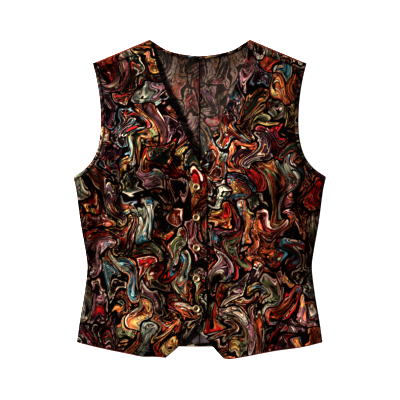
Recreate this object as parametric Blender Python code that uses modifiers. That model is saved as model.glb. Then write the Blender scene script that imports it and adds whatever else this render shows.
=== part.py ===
"""Sleeveless waistcoat of printed cloth, buttoned up and laid flat on its back.

Run with: blender --background --python part.py

Lengths are metres. Looking down on the front, +X is to the right, +Y runs from the hem to the
neck and +Z is up, away from the surface that the waistcoat lies on. The origin is on that
surface, in the middle of the outline. Right and left in names are the wearer's, so the right
front lies at -X, and it laps over the left front.

The back lies flat. The fronts lie on it, a little apart, with their folds. Each panel is a patch
stretched between its four cut edges, with a wall of cloth thickness.
"""

import math
from typing import NamedTuple

import bmesh
import bpy
import numpy as np

# Cloth
CLOTH = 0.0012
BAND_CLOTH = 0.0016
TRIM_CLOTH = 0.0010
SEAM_GAP = 0.0003

# Widths of the narrow pieces
ARMHOLE_BAND = 0.0070
NECK_BAND = 0.0055
BACK_HEM = 0.0070

# Front closure: the button line is a little off the middle, as the garment lies
BUTTON_LINE_X = -0.0054
EDGE_PAST_BUTTONS = 0.0175
CLOSURE_TOP_Y = 0.0265
CLOSURE_FOOT_Y = -0.2045

# Buttons
BUTTON_COUNT = 5
BUTTON_TOP_Y = 0.0213
BUTTON_PITCH = 0.0532
BUTTON_RADIUS = 0.0063
BUTTON_HEIGHT = 0.0026
SHANK_RADIUS = 0.0011
BUTTON_SIDES = 20
BUTTONHOLE_LENGTH = 0.0140
BUTTONHOLE_WIDTH = 0.0034
BUTTONHOLE_SHIFT = -0.0030
BUTTONHOLE_SIDES = 16

# Heights of the middle of the upper cloth above the surface
SEAM_HEIGHT = 0.0021
ARMHOLE_HEIGHT = 0.0034
BODY_HEIGHT = 0.0072
HEM_HEIGHT = 0.0050
CHEST_RISE = 0.0034
LEAST_HEIGHT = 0.0034
EDGE_ROLL = 0.0055
LAP_RISE = 0.0019
LAP_FADE = (-0.062, -0.026)
NECK_EDGE_LIFT = 0.0038
UNDER_EDGE_LIFT = 0.0014
SHOULDER_FOLD = 0.0020
SHOULDER_FALL = 0.060

# Seam on the front where the back ends: its distance below the shoulder edge
SEAM_DROP_NECK = 0.0160
SEAM_DROP_ARMHOLE = 0.0134

# How finely the patches are divided
CUTAWAY_ROWS = 6
CLOSURE_ROWS = 12
ARMHOLE_ROWS = 14
BACK_SIDE_ROWS = 7
FRONT_COLUMNS = 23
NECK_COLUMNS = 6
SHOULDER_COLUMNS = 7
FOLD_STEPS = 4
WRAP_ROWS = 2
CURVE_STEPS = 24
FINE = 240
BELOW_CUTAWAY = 0.155


class Point(NamedTuple):
    """A point of a cut edge, across and along the garment."""

    x: float
    y: float


class Fold(NamedTuple):
    """A soft ridge (height above 0) or trough (below 0) in the upper cloth."""

    start: Point
    end: Point
    bow: float
    width: float
    height: float


class ColourFinish(NamedTuple):
    """Plain finish of a piece: base colour, roughness and metallic."""

    colour: tuple
    roughness: float
    metallic: float


PRINTED_CLOTH = ColourFinish(colour=(0.075, 0.030, 0.020), roughness=0.62, metallic=0.0)
BUTTON_BRASS = ColourFinish(colour=(0.42, 0.27, 0.12), roughness=0.34, metallic=1.0)

# Corners of the outline, on the wearer's left half (+X)
NECK_POINT = Point(x=0.0862, y=0.2804)
SHOULDER_TIP = Point(x=0.1876, y=0.2378)
UNDERARM = Point(x=0.2214, y=0.0388)
HEM_CORNER = Point(x=0.2155, y=-0.2510)

# Cut edges of the left half, each a smooth line through a few points
SIDE_SEAM = (
    HEM_CORNER,
    Point(x=0.2096, y=-0.2100),
    Point(x=0.2022, y=-0.1670),
    Point(x=0.1969, y=-0.1220),
    Point(x=0.1998, y=-0.0930),
    Point(x=0.2090, y=-0.0400),
    Point(x=0.2160, y=0.0125),
    UNDERARM,
)
ARMHOLE = (
    UNDERARM,
    Point(x=0.1995, y=0.0545),
    Point(x=0.1840, y=0.0755),
    Point(x=0.1755, y=0.1040),
    Point(x=0.1732, y=0.1370),
    Point(x=0.1755, y=0.1780),
    Point(x=0.1815, y=0.2140),
    Point(x=0.1871, y=0.2358),
)
BACK_NECK = (
    Point(x=0.0000, y=0.2512),
    Point(x=0.0250, y=0.2537),
    Point(x=0.0470, y=0.2582),
    Point(x=0.0620, y=0.2638),
    Point(x=0.0750, y=0.2718),
    Point(x=0.0854, y=0.2785),
)
BACK_HEM_LINE = (
    Point(x=0.0000, y=-0.2590),
    Point(x=0.1100, y=-0.2570),
    HEM_CORNER,
)

# Corners of the fronts, right front (-X) first
RIGHT_POINT = Point(x=-0.0595, y=-0.2778)
RIGHT_EDGE_FOOT = Point(x=BUTTON_LINE_X + EDGE_PAST_BUTTONS, y=CLOSURE_FOOT_Y)
RIGHT_EDGE_TOP = Point(x=BUTTON_LINE_X + EDGE_PAST_BUTTONS, y=CLOSURE_TOP_Y)
LEFT_POINT = Point(x=0.0420, y=-0.2797)
LEFT_EDGE_FOOT = Point(x=BUTTON_LINE_X - EDGE_PAST_BUTTONS, y=CLOSURE_FOOT_Y)
LEFT_EDGE_TOP = Point(x=BUTTON_LINE_X - EDGE_PAST_BUTTONS, y=CLOSURE_TOP_Y)

# Free edges of the fronts, which the lay of the garment makes a little unequal
RIGHT_HEM = (
    RIGHT_POINT,
    Point(x=-0.0780, y=-0.2762),
    Point(x=-0.1008, y=-0.2758),
    Point(x=-0.1288, y=-0.2704),
    Point(x=-0.1708, y=-0.2617),
    Point(x=-HEM_CORNER.x, y=HEM_CORNER.y),
)
LEFT_HEM = (
    LEFT_POINT,
    Point(x=0.0560, y=-0.2800),
    Point(x=0.0812, y=-0.2759),
    Point(x=0.1092, y=-0.2705),
    Point(x=0.1372, y=-0.2655),
    Point(x=0.1792, y=-0.2595),
    HEM_CORNER,
)
RIGHT_CUTAWAY = (
    RIGHT_POINT,
    Point(x=-0.0400, y=-0.2612),
    Point(x=-0.0190, y=-0.2395),
    Point(x=0.0035, y=-0.2160),
    RIGHT_EDGE_FOOT,
)
LEFT_CUTAWAY = (
    LEFT_POINT,
    Point(x=0.0235, y=-0.2589),
    Point(x=0.0129, y=-0.2458),
    Point(x=-0.0028, y=-0.2321),
    Point(x=-0.0150, y=-0.2180),
    LEFT_EDGE_FOOT,
)
RIGHT_NECK_EDGE = (
    RIGHT_EDGE_TOP,
    Point(x=0.0072, y=0.0430),
    Point(x=-0.0018, y=0.0633),
    Point(x=-0.0193, y=0.1007),
    Point(x=-0.0522, y=0.1742),
    Point(x=-0.0709, y=0.2209),
    Point(x=-NECK_POINT.x, y=NECK_POINT.y),
)
LEFT_NECK_EDGE = (
    LEFT_EDGE_TOP,
    Point(x=-0.0150, y=0.0420),
    Point(x=0.0000, y=0.0633),
    Point(x=0.0133, y=0.0860),
    Point(x=0.0385, y=0.1420),
    Point(x=0.0610, y=0.1960),
    Point(x=0.0770, y=0.2407),
    NECK_POINT,
)

# Largest folds of the fronts: under the arms, across the chest, at the waist and at the hem
FOLDS = (
    Fold(Point(-0.1640, 0.0780), Point(-0.1560, -0.0980), bow=0.004, width=0.0085, height=0.0046),
    Fold(Point(-0.1760, 0.0640), Point(-0.1700, -0.0620), bow=0.002, width=0.0048, height=-0.0030),
    Fold(Point(-0.1890, 0.0520), Point(-0.1800, -0.1000), bow=0.003, width=0.0060, height=-0.0026),
    Fold(Point(-0.1400, 0.0500), Point(-0.1380, -0.0700), bow=0.003, width=0.0070, height=-0.0024),
    Fold(Point(-0.1520, 0.1560), Point(-0.1120, 0.0500), bow=0.010, width=0.0210, height=0.0032),
    Fold(Point(-0.2020, -0.0900), Point(-0.0260, 0.0020), bow=-0.020, width=0.0095, height=0.0034),
    Fold(Point(-0.1800, -0.1130), Point(-0.0500, -0.0520), bow=-0.014, width=0.0080, height=-0.0022),
    Fold(Point(-0.0310, 0.0380), Point(-0.0150, -0.0220), bow=0.000, width=0.0090, height=-0.0024),
    Fold(Point(-0.1150, -0.1350), Point(-0.1360, -0.2690), bow=0.006, width=0.0140, height=0.0030),
    Fold(Point(-0.1720, -0.1550), Point(-0.1820, -0.2600), bow=0.003, width=0.0110, height=0.0020),
    Fold(Point(-0.0560, -0.1450), Point(-0.0740, -0.2740), bow=0.004, width=0.0120, height=-0.0018),
    Fold(Point(0.1500, 0.0700), Point(0.1460, -0.0840), bow=-0.003, width=0.0080, height=-0.0038),
    Fold(Point(0.1670, 0.0540), Point(0.1600, -0.0340), bow=-0.002, width=0.0060, height=0.0034),
    Fold(Point(0.1300, 0.0640), Point(0.1230, -0.0920), bow=-0.004, width=0.0110, height=0.0032),
    Fold(Point(0.1880, 0.0340), Point(0.1800, -0.0740), bow=-0.003, width=0.0085, height=-0.0024),
    Fold(Point(0.0560, 0.1480), Point(0.0900, 0.0380), bow=-0.008, width=0.0200, height=0.0026),
    Fold(Point(0.2020, -0.0960), Point(0.0520, -0.0440), bow=0.014, width=0.0110, height=0.0024),
    Fold(Point(0.1240, -0.1500), Point(0.1420, -0.2620), bow=-0.005, width=0.0130, height=0.0030),
    Fold(Point(0.0580, -0.1400), Point(0.0700, -0.2740), bow=-0.003, width=0.0120, height=-0.0018),
    Fold(Point(0.1820, -0.1600), Point(0.1900, -0.2540), bow=-0.003, width=0.0100, height=0.0018),
)


def smooth_line(points, fractions):
    """Return places at fractions of the length of a smooth line through the points."""
    knots = np.array(points, float)
    padded = np.vstack([2 * knots[0] - knots[1], knots, 2 * knots[-1] - knots[-2]])
    step = np.linspace(0.0, 1.0, CURVE_STEPS)[:, None]
    spans = []
    for before, here, there, after in zip(padded, padded[1:], padded[2:], padded[3:]):
        linear = there - before
        square = 2 * before - 5 * here + 4 * there - after
        cubic = 3 * here - 3 * there + after - before
        spans.append(here + 0.5 * (linear * step + square * step**2 + cubic * step**3))
    line = np.vstack(spans)
    lengths = np.concatenate([[0.0], np.cumsum(np.linalg.norm(np.diff(line, axis=0), axis=1))])
    places = np.asarray(fractions) * lengths[-1]
    return np.column_stack([np.interp(places, lengths, line[:, axis]) for axis in range(2)])


def smooth_step(value, low, high):
    """Rise from 0 at low to 1 at high, with level ends."""
    t = np.clip((value - low) / (high - low), 0.0, 1.0)
    return t * t * (3.0 - 2.0 * t)


def even(count):
    """Evenly spaced fractions from 0 to 1, for a number of divisions."""
    return np.linspace(0.0, 1.0, count + 1)


def mirrored(points):
    """The same edge on the other half of the garment."""
    return np.asarray(points) * (-1.0, 1.0)


def shoulder_frame():
    """Direction of the left shoulder edge towards its tip, and its outward normal."""
    edge = np.subtract(SHOULDER_TIP, NECK_POINT)
    along = edge / np.linalg.norm(edge)
    return along, np.array([-along[1], along[0]])


def below_shoulder(x, y):
    """Distance of places below the shoulder edge, the same on both halves."""
    _, outward = shoulder_frame()
    return (NECK_POINT.x - np.abs(x)) * outward[0] + (NECK_POINT.y - y) * outward[1]


def inward_from_side(x, y):
    """Distance of places inside the side seam or armhole, measured across."""
    side = smooth_line(SIDE_SEAM, even(FINE))
    armhole = smooth_line(ARMHOLE, even(FINE))
    outline = np.vstack([side, armhole[1:], [SHOULDER_TIP]])
    return np.maximum(np.interp(y, outline[:, 1], outline[:, 0]) - np.abs(x), 0.0)


def fold_heights(x, y):
    """Sum of the folds: each a rounded ridge along a bowed line, fading out at its ends."""
    total = np.zeros_like(x)
    for fold in FOLDS:
        run = np.subtract(fold.end, fold.start)
        length = np.linalg.norm(run)
        unit = run / length
        along = ((x - fold.start.x) * unit[0] + (y - fold.start.y) * unit[1]) / length
        across = (y - fold.start.y) * unit[0] - (x - fold.start.x) * unit[1]
        window = np.clip(1.0 - (2.0 * along - 1.0) ** 2, 0.0, None)
        across = across - fold.bow * window
        total += fold.height * window * np.exp(-((across / fold.width) ** 2))
    return total


def cloth_height(x, y):
    """Height of the middle of the upper cloth above the surface it lies on."""
    inward = inward_from_side(x, y)
    edge = SEAM_HEIGHT + (ARMHOLE_HEIGHT - SEAM_HEIGHT) * smooth_step(y, 0.030, 0.052)
    body = HEM_HEIGHT + (BODY_HEIGHT - HEM_HEIGHT) * smooth_step(y, -0.270, -0.150)
    chest = np.exp(-(((np.abs(x) - 0.088) / 0.058) ** 2) - ((y - 0.085) / 0.080) ** 2)
    body = body + CHEST_RISE * chest + fold_heights(x, y)
    lying = edge + (body - edge) * (1.0 - np.exp(-inward / EDGE_ROLL))
    least = np.minimum(edge + 0.22 * inward, LEAST_HEIGHT)
    lying = np.maximum(lying, least)
    fold_top = 0.5 * CLOTH + 2.0 * SHOULDER_FOLD
    falling = smooth_step(below_shoulder(x, y), SHOULDER_FOLD, SHOULDER_FALL)
    return fold_top + (lying - fold_top) * falling


def upper_front_height(x, y):
    """Height of the right front, which laps over the left and stands off at the neck edge."""
    lap = LAP_RISE * smooth_step(x, *LAP_FADE)
    edge = smooth_line(RIGHT_NECK_EDGE, even(FINE))
    inside = np.interp(y, edge[:, 1], edge[:, 0]) - x
    window = smooth_step(y, 0.030, 0.095) * (1.0 - smooth_step(y, 0.190, 0.262))
    lift = NECK_EDGE_LIFT * window * np.exp(-((inside / 0.017) ** 2))
    return cloth_height(x, y) + lap + lift


def under_front_height(x, y):
    """Height of the left front, with a small lift along its neck edge."""
    edge = smooth_line(LEFT_NECK_EDGE, even(FINE))
    inside = x - np.interp(y, edge[:, 1], edge[:, 0])
    window = smooth_step(y, 0.080, 0.125) * (1.0 - smooth_step(y, 0.190, 0.262))
    return cloth_height(x, y) + UNDER_EDGE_LIFT * window * np.exp(-((inside / 0.015) ** 2))


def inset_armhole(distance):
    """The armhole of the left half moved into the cloth, and the armhole itself.

    The ends slide along the side seam and the shoulder edge, so neighbours meet there.
    """
    fractions = even(ARMHOLE_ROWS) ** 1.15
    outer = smooth_line(ARMHOLE, fractions)
    tangent = np.gradient(outer, axis=0)
    tangent /= np.linalg.norm(tangent, axis=1)[:, None]
    inward = np.column_stack([-tangent[:, 1], tangent[:, 0]])
    along_shoulder, _ = shoulder_frame()
    down_side = np.subtract(SIDE_SEAM[-2], SIDE_SEAM[-1])
    for row, slide in ((0, down_side / np.linalg.norm(down_side)), (-1, -along_shoulder)):
        inward[row] = slide / np.dot(slide, inward[row])
    return outer + inward * distance, outer


def patch(left, right, bottom, top, u, v):
    """Coons patch: places between four edges that share their corners.

    Each place is the blend of the two sides plus the blend of the two ends, less the blend
    of the four corners.
    """
    u = np.asarray(u)[None, :, None]
    v = np.asarray(v)[:, None, None]
    sides = (1 - u) * left[:, None] + u * right[:, None]
    ends = (1 - v) * bottom[None] + v * top[None]
    corners = (1 - u) * (1 - v) * bottom[0] + u * (1 - v) * bottom[-1]
    corners = corners + (1 - u) * v * top[0] + u * v * top[-1]
    return sides + ends - corners


def travelled(left, right):
    """Fractions of the mean length run along two edges, used as the patch's rows."""
    steps = np.linalg.norm(np.diff(left, axis=0), axis=1)
    steps = steps + np.linalg.norm(np.diff(right, axis=0), axis=1)
    run = np.concatenate([[0.0], np.cumsum(steps)])
    return run / run[-1]


def grid_quads(rows, columns, flip):
    """Corner numbers of the quads of a grid of rows by columns of points."""
    index = np.arange(rows * columns).reshape(rows, columns)
    quads = np.stack([index[:-1, :-1], index[:-1, 1:], index[1:, 1:], index[1:, :-1]], axis=-1)
    quads = quads.reshape(-1, 4)
    return quads[:, ::-1] if flip else quads


def material(name, finish):
    """A Principled material with a plain colour."""
    made = bpy.data.materials.get(name) or bpy.data.materials.new(name)
    made.use_nodes = True
    shader = made.node_tree.nodes["Principled BSDF"]
    shader.inputs["Base Color"].default_value = (*finish.colour, 1.0)
    shader.inputs["Roughness"].default_value = finish.roughness
    shader.inputs["Metallic"].default_value = finish.metallic
    return made


def sheet(name, grids, thickness, finish, collection, flip=False):
    """Make a cloth piece: grids of points, merged where they share an edge, with a wall."""
    points, quads, start = [], [], 0
    for grid in grids:
        rows, columns = grid.shape[:2]
        points.append(grid.reshape(-1, 3))
        quads.append(grid_quads(rows, columns, flip) + start)
        start += rows * columns
    mesh = bpy.data.meshes.new(name)
    mesh.from_pydata(np.vstack(points).tolist(), [], np.vstack(quads).tolist())
    edit = bmesh.new()
    edit.from_mesh(mesh)
    bmesh.ops.remove_doubles(edit, verts=edit.verts, dist=0.00001)
    edit.to_mesh(mesh)
    edit.free()
    mesh.shade_smooth()
    piece = bpy.data.objects.new(name, mesh)
    piece.data.materials.append(material(name, finish))
    collection.objects.link(piece)
    wall = piece.modifiers.new("wall", "SOLIDIFY")
    wall.thickness = thickness
    wall.offset = 0.0
    return piece


def with_height(plan, height):
    """Join plan places with heights into places in space."""
    return np.concatenate([plan, np.broadcast_to(height, plan.shape[:-1])[..., None]], axis=-1)


def seam_line(columns):
    """The shoulder seam on the left front, from the neck edge to the armhole's inset edge."""
    neck_edge = smooth_line(LEFT_NECK_EDGE, even(FINE))
    inset, _ = inset_armhole(ARMHOLE_BAND + SEAM_GAP)
    armhole = smooth_line(inset, even(FINE))
    ends = []
    for edge, drop in ((neck_edge, SEAM_DROP_NECK), (armhole, SEAM_DROP_ARMHOLE)):
        below = below_shoulder(edge[:, 0], edge[:, 1])
        order = np.argsort(below)
        ends.append([np.interp(drop, below[order], edge[order, axis]) for axis in range(2)])
    u = np.asarray(columns)[:, None]
    return (1 - u) * np.array(ends[0]) + u * np.array(ends[1])


def cut_at_seam(edge, rows, end):
    """Places along an edge from its first point to a point on it, the seam's end."""
    fine = smooth_line(edge, even(FINE))
    last = np.argmin(np.linalg.norm(fine - end, axis=1))
    line = np.vstack([fine[:last], end])
    lengths = np.concatenate([[0.0], np.cumsum(np.linalg.norm(np.diff(line, axis=0), axis=1))])
    places = rows * lengths[-1]
    return np.column_stack([np.interp(places, lengths, line[:, axis]) for axis in range(2)])


def front_columns():
    """Fractions across a front, closer together towards the side, where the folds are."""
    t = even(FRONT_COLUMNS)
    return 1.0 - (1.0 - t) ** 1.35


def front(name, hem, cutaway, neck_edge, height, collection, on_left_half):
    """One front, worked out on the left half and mirrored for the wearer's right."""
    if not on_left_half:
        hem, cutaway, neck_edge = mirrored(hem), mirrored(cutaway), mirrored(neck_edge)
    u = front_columns()
    _, outward = shoulder_frame()
    seam_end = seam_line(u)[-1] - outward * SEAM_GAP
    seam = seam_start(neck_edge) + (seam_end - seam_start(neck_edge)) * u[:, None]
    closure = np.array([cutaway[-1], neck_edge[0]])
    inner = np.vstack([
        smooth_line(cutaway, even(CUTAWAY_ROWS)),
        closure[0] + (closure[1] - closure[0]) * even(CLOSURE_ROWS)[1:, None],
        cut_at_seam(neck_edge, even(ARMHOLE_ROWS - 1), seam[0])[1:],
    ])
    inset, _ = inset_armhole(ARMHOLE_BAND + SEAM_GAP)
    side = side_to(inset[0])
    lower = even(CUTAWAY_ROWS) * BELOW_CUTAWAY
    upper = BELOW_CUTAWAY + even(CLOSURE_ROWS)[1:] * (1 - BELOW_CUTAWAY)
    outer = np.vstack([
        smooth_line(side, np.concatenate([lower, upper])),
        inset[1:ARMHOLE_ROWS - 1],
        seam[-1:],
    ])
    v = travelled(inner, outer)
    plan = patch(inner, outer, smooth_line(hem, u), seam, u, v)
    if not on_left_half:
        plan = mirrored(plan)
    grid = with_height(plan, height(plan[..., 0], plan[..., 1]))
    return sheet(name, [grid], CLOTH, PRINTED_CLOTH, collection, flip=not on_left_half)


def side_to(top):
    """Side seam from the hem corner up to the place where the armhole band begins."""
    return np.vstack([np.array(SIDE_SEAM[:-1]), top])


def seam_start(neck_edge):
    """Where the shoulder seam meets a neck edge given on the left half."""
    fine = smooth_line(neck_edge, even(FINE))
    below = below_shoulder(fine[:, 0], fine[:, 1])
    order = np.argsort(below)
    drop = SEAM_DROP_NECK + SEAM_GAP
    return np.array([np.interp(drop, below[order], fine[order, axis]) for axis in range(2)])


def back(name, collection, on_left_half):
    """One back half, flat, whose shoulder folds over to the seam on the front."""
    inset, _ = inset_armhole(ARMHOLE_BAND + SEAM_GAP)
    side = smooth_line(side_to(inset[0]), even(BACK_SIDE_ROWS))
    outer = np.vstack([side, inset[1:]])
    centre_x = 0.5 * SEAM_GAP
    run = travelled(outer, outer)
    low, high = BACK_HEM_LINE[0].y, BACK_NECK[0].y
    inner = np.column_stack([np.full_like(run, centre_x), low + (high - low) * run])
    neck = smooth_line(BACK_NECK, even(NECK_COLUMNS))
    shoulder = neck[-1] + (inset[-1] - neck[-1]) * even(SHOULDER_COLUMNS)[1:, None]
    top = np.vstack([neck, shoulder])
    top[0, 0] = centre_x
    u = travelled(top, top)
    hem = smooth_line(BACK_HEM_LINE, u)
    hem[0, 0] = centre_x
    plan = patch(inner, outer, hem, top, u, run)
    flat = with_height(plan, 0.5 * CLOTH)
    wrap = shoulder_wrap(top[NECK_COLUMNS:])
    grids = [flat, wrap]
    if not on_left_half:
        grids = [grid * (-1.0, 1.0, 1.0) for grid in grids]
    return sheet(name, grids, CLOTH, PRINTED_CLOTH, collection, flip=on_left_half)


def shoulder_wrap(edge):
    """The part of a back that folds over the shoulder and runs down to the seam."""
    _, outward = shoulder_frame()
    run = np.linalg.norm(edge - edge[0], axis=1)
    seam = seam_line(run / run[-1])
    turn = np.linspace(0.0, math.pi, FOLD_STEPS + 1)[:, None, None]
    fold_plan = edge[None] + outward * SHOULDER_FOLD * np.sin(turn)
    fold_rise = 0.5 * CLOTH + SHOULDER_FOLD * (1.0 - np.cos(turn[..., 0]))
    fold = with_height(fold_plan, np.broadcast_to(fold_rise, fold_plan.shape[:2]))
    down = even(WRAP_ROWS)[1:, None, None]
    flat_plan = edge[None] + (seam - edge)[None] * down
    flat = with_height(flat_plan, cloth_height(flat_plan[..., 0], flat_plan[..., 1]))
    return np.vstack([fold, flat])


def armhole_band(name, collection, on_left_half):
    """Band sewn to an armhole: up the back, over the shoulder fold and down the front."""
    inner, outer = inset_armhole(ARMHOLE_BAND)
    _, outward = shoulder_frame()
    across = np.stack([inner, outer], axis=1)
    low = 0.5 * BAND_CLOTH
    high = 0.5 * CLOTH + 2.0 * SHOULDER_FOLD
    behind = with_height(across, low)
    turn = np.linspace(0.0, math.pi, FOLD_STEPS + 1)[1:-1, None, None]
    fold_plan = across[-1][None] + outward * SHOULDER_FOLD * np.sin(turn)
    fold_rise = low + 0.5 * (high - low) * (1.0 - np.cos(turn[..., 0]))
    fold = with_height(fold_plan, np.broadcast_to(fold_rise, fold_plan.shape[:2]))
    front_plan = across[::-1]
    before = with_height(front_plan, cloth_height(front_plan[..., 0], front_plan[..., 1]))
    grid = np.vstack([behind, fold, before])
    if not on_left_half:
        grid = grid * (-1.0, 1.0, 1.0)
    return sheet(name, [grid], BAND_CLOTH, PRINTED_CLOTH, collection, flip=on_left_half)


def strip_on_back(name, outer, inner, collection):
    """A narrow strip that lies on the inside of the back."""
    height = CLOTH + SEAM_GAP + 0.5 * TRIM_CLOTH
    grid = with_height(np.stack([inner, outer], axis=1), height)
    return sheet(name, [grid], TRIM_CLOTH, PRINTED_CLOTH, collection)


def neck_band(collection):
    """Band inside the back neck, from shoulder to shoulder."""
    half = smooth_line(BACK_NECK[:-1], even(9))
    outer = np.vstack([mirrored(half)[::-1], half[1:]])
    tangent = np.gradient(outer, axis=0)
    tangent /= np.linalg.norm(tangent, axis=1)[:, None]
    inner = outer + np.column_stack([tangent[:, 1], -tangent[:, 0]]) * NECK_BAND
    return strip_on_back("neck_band", outer, inner, collection)


def back_hem(name, collection, on_left_half):
    """The back hem's turned-up edge, short of the side seam."""
    outer = smooth_line(BACK_HEM_LINE, even(8) * 0.965)
    outer[0, 0] = 0.5 * SEAM_GAP
    inner = outer + (0.0, BACK_HEM)
    if not on_left_half:
        outer, inner = mirrored(outer)[::-1], mirrored(inner)[::-1]
    return strip_on_back(name, outer, inner, collection)


def button_places():
    """Plan place and under-side height of each button, from the top down."""
    y = BUTTON_TOP_Y - BUTTON_PITCH * np.arange(BUTTON_COUNT)
    x = np.full(BUTTON_COUNT, BUTTON_LINE_X)
    height = upper_front_height(x, y) + 0.5 * CLOTH + SEAM_GAP
    return np.column_stack([x, y, height])


def button(name, place, collection):
    """A turned button with a raised rim, a sunk domed centre and a shank."""
    shank_end = -(LAP_RISE - SEAM_GAP) + 0.0001
    profile = (
        (0.0, 0.62 * BUTTON_HEIGHT),
        (0.45 * BUTTON_RADIUS, 0.52 * BUTTON_HEIGHT),
        (0.68 * BUTTON_RADIUS, 0.50 * BUTTON_HEIGHT),
        (0.78 * BUTTON_RADIUS, 0.98 * BUTTON_HEIGHT),
        (0.90 * BUTTON_RADIUS, BUTTON_HEIGHT),
        (BUTTON_RADIUS, 0.70 * BUTTON_HEIGHT),
        (0.97 * BUTTON_RADIUS, 0.20 * BUTTON_HEIGHT),
        (0.80 * BUTTON_RADIUS, 0.0),
        (SHANK_RADIUS, 0.0),
        (SHANK_RADIUS, shank_end),
        (0.0, shank_end),
    )
    mesh = bpy.data.meshes.new(name)
    edges = [(k, k + 1) for k in range(len(profile) - 1)]
    mesh.from_pydata([(radius, 0.0, height) for radius, height in profile], edges, [])
    piece = bpy.data.objects.new(name, mesh)
    piece.location = tuple(place)
    piece.data.materials.append(material(name, BUTTON_BRASS))
    collection.objects.link(piece)
    turned = piece.modifiers.new("turned", "SCREW")
    turned.steps = BUTTON_SIDES
    turned.render_steps = BUTTON_SIDES
    turned.use_merge_vertices = True
    turned.merge_threshold = 0.00001
    return piece


def cut_buttonholes(piece, places, cutters):
    """Cut a long oval hole through a front for each button's shank."""
    for number, (x, y, _) in enumerate(places, start=1):
        bpy.ops.mesh.primitive_cylinder_add(
            vertices=BUTTONHOLE_SIDES, radius=0.5, depth=0.030,
            location=(x + BUTTONHOLE_SHIFT, y, 0.006))
        cutter = bpy.context.active_object
        cutter.name = f"buttonhole_cutter_{number}"
        cutter.scale = (BUTTONHOLE_LENGTH, BUTTONHOLE_WIDTH, 1.0)
        for home in list(cutter.users_collection):
            home.objects.unlink(cutter)
        cutters.objects.link(cutter)
        cutter.hide_render = True
        cutter.display_type = "WIRE"
        hole = piece.modifiers.new(f"buttonhole_{number}", "BOOLEAN")
        hole.operation = "DIFFERENCE"
        hole.object = cutter


def remove_scene_objects():
    """Start from an empty scene."""
    for old in list(bpy.data.objects):
        bpy.data.objects.remove(old, do_unlink=True)


def main():
    """Build every piece of the waistcoat."""
    remove_scene_objects()
    waistcoat = bpy.data.collections.new("waistcoat")
    cutters = bpy.data.collections.new("cutters")
    bpy.context.scene.collection.children.link(waistcoat)
    bpy.context.scene.collection.children.link(cutters)

    for side, on_left_half in (("left", True), ("right", False)):
        back(f"back_{side}", waistcoat, on_left_half)
        back_hem(f"back_hem_{side}", waistcoat, on_left_half)
        armhole_band(f"armhole_band_{side}", waistcoat, on_left_half)
    neck_band(waistcoat)

    front("front_left", LEFT_HEM, LEFT_CUTAWAY, LEFT_NECK_EDGE, under_front_height,
          waistcoat, on_left_half=True)
    upper = front("front_right", RIGHT_HEM, RIGHT_CUTAWAY, RIGHT_NECK_EDGE, upper_front_height,
                  waistcoat, on_left_half=False)
    places = button_places()
    cut_buttonholes(upper, places, cutters)
    for number, place in enumerate(places, start=1):
        button(f"button_{number}", place, waistcoat)


main()
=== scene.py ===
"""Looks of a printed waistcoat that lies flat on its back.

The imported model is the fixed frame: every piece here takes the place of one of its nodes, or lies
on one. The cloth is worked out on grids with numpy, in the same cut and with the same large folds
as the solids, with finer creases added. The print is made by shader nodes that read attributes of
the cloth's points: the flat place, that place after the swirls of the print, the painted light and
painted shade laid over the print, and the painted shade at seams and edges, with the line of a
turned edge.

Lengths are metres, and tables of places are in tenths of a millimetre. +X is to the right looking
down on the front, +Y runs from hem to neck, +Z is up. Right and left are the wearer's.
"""

import logging
import math
from typing import Sequence

import bmesh
import bpy
import numpy as np
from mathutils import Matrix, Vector


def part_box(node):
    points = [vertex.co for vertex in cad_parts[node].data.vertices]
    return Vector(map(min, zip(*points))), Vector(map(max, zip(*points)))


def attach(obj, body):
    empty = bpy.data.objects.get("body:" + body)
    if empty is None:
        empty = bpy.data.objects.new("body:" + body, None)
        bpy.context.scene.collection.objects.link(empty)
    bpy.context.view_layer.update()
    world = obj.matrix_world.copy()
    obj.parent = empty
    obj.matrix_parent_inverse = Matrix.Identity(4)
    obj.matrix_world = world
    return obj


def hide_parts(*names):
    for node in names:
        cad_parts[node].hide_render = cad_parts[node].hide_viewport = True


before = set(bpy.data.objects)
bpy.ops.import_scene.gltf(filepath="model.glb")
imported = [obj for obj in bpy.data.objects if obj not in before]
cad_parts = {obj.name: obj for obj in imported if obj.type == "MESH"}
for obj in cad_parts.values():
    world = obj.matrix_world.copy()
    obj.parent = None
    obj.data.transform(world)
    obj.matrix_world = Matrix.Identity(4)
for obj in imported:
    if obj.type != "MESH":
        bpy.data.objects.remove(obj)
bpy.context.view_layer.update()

LOG = logging.getLogger("waistcoat")
Places = np.ndarray
Colour = tuple[float, float, float]

ROOT, PRINTED_SLOT, BUTTON_SLOT = "root", "printed_cloth", "button_brass"
FLAT_PLACE, PRINT_PLACE, SEAM_SHADE, PAINTED_LIGHT = "cloth_place", "print_place", "seam_shade", "tone"
RIGHT_SIDE, WRONG_SIDE = "printed_cloth_right_side", "printed_cloth_wrong_side"
THREAD, FLOOR = "sewing_thread", "pale_floor"
GILT, BUTTON_CENTRE = "aged_gilt", "dark_button_centre"
SIGN = {"left": 1.0, "right": -1.0}
# Shade that marks a turned edge, and divisions of an edge that is measured along.
PIPED, FINE = 2.0, 240


def metres(*rows: tuple) -> Places:
    """Rows of a table in tenths of a millimetre, as metres."""
    return np.array(rows) / 10000.0


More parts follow.
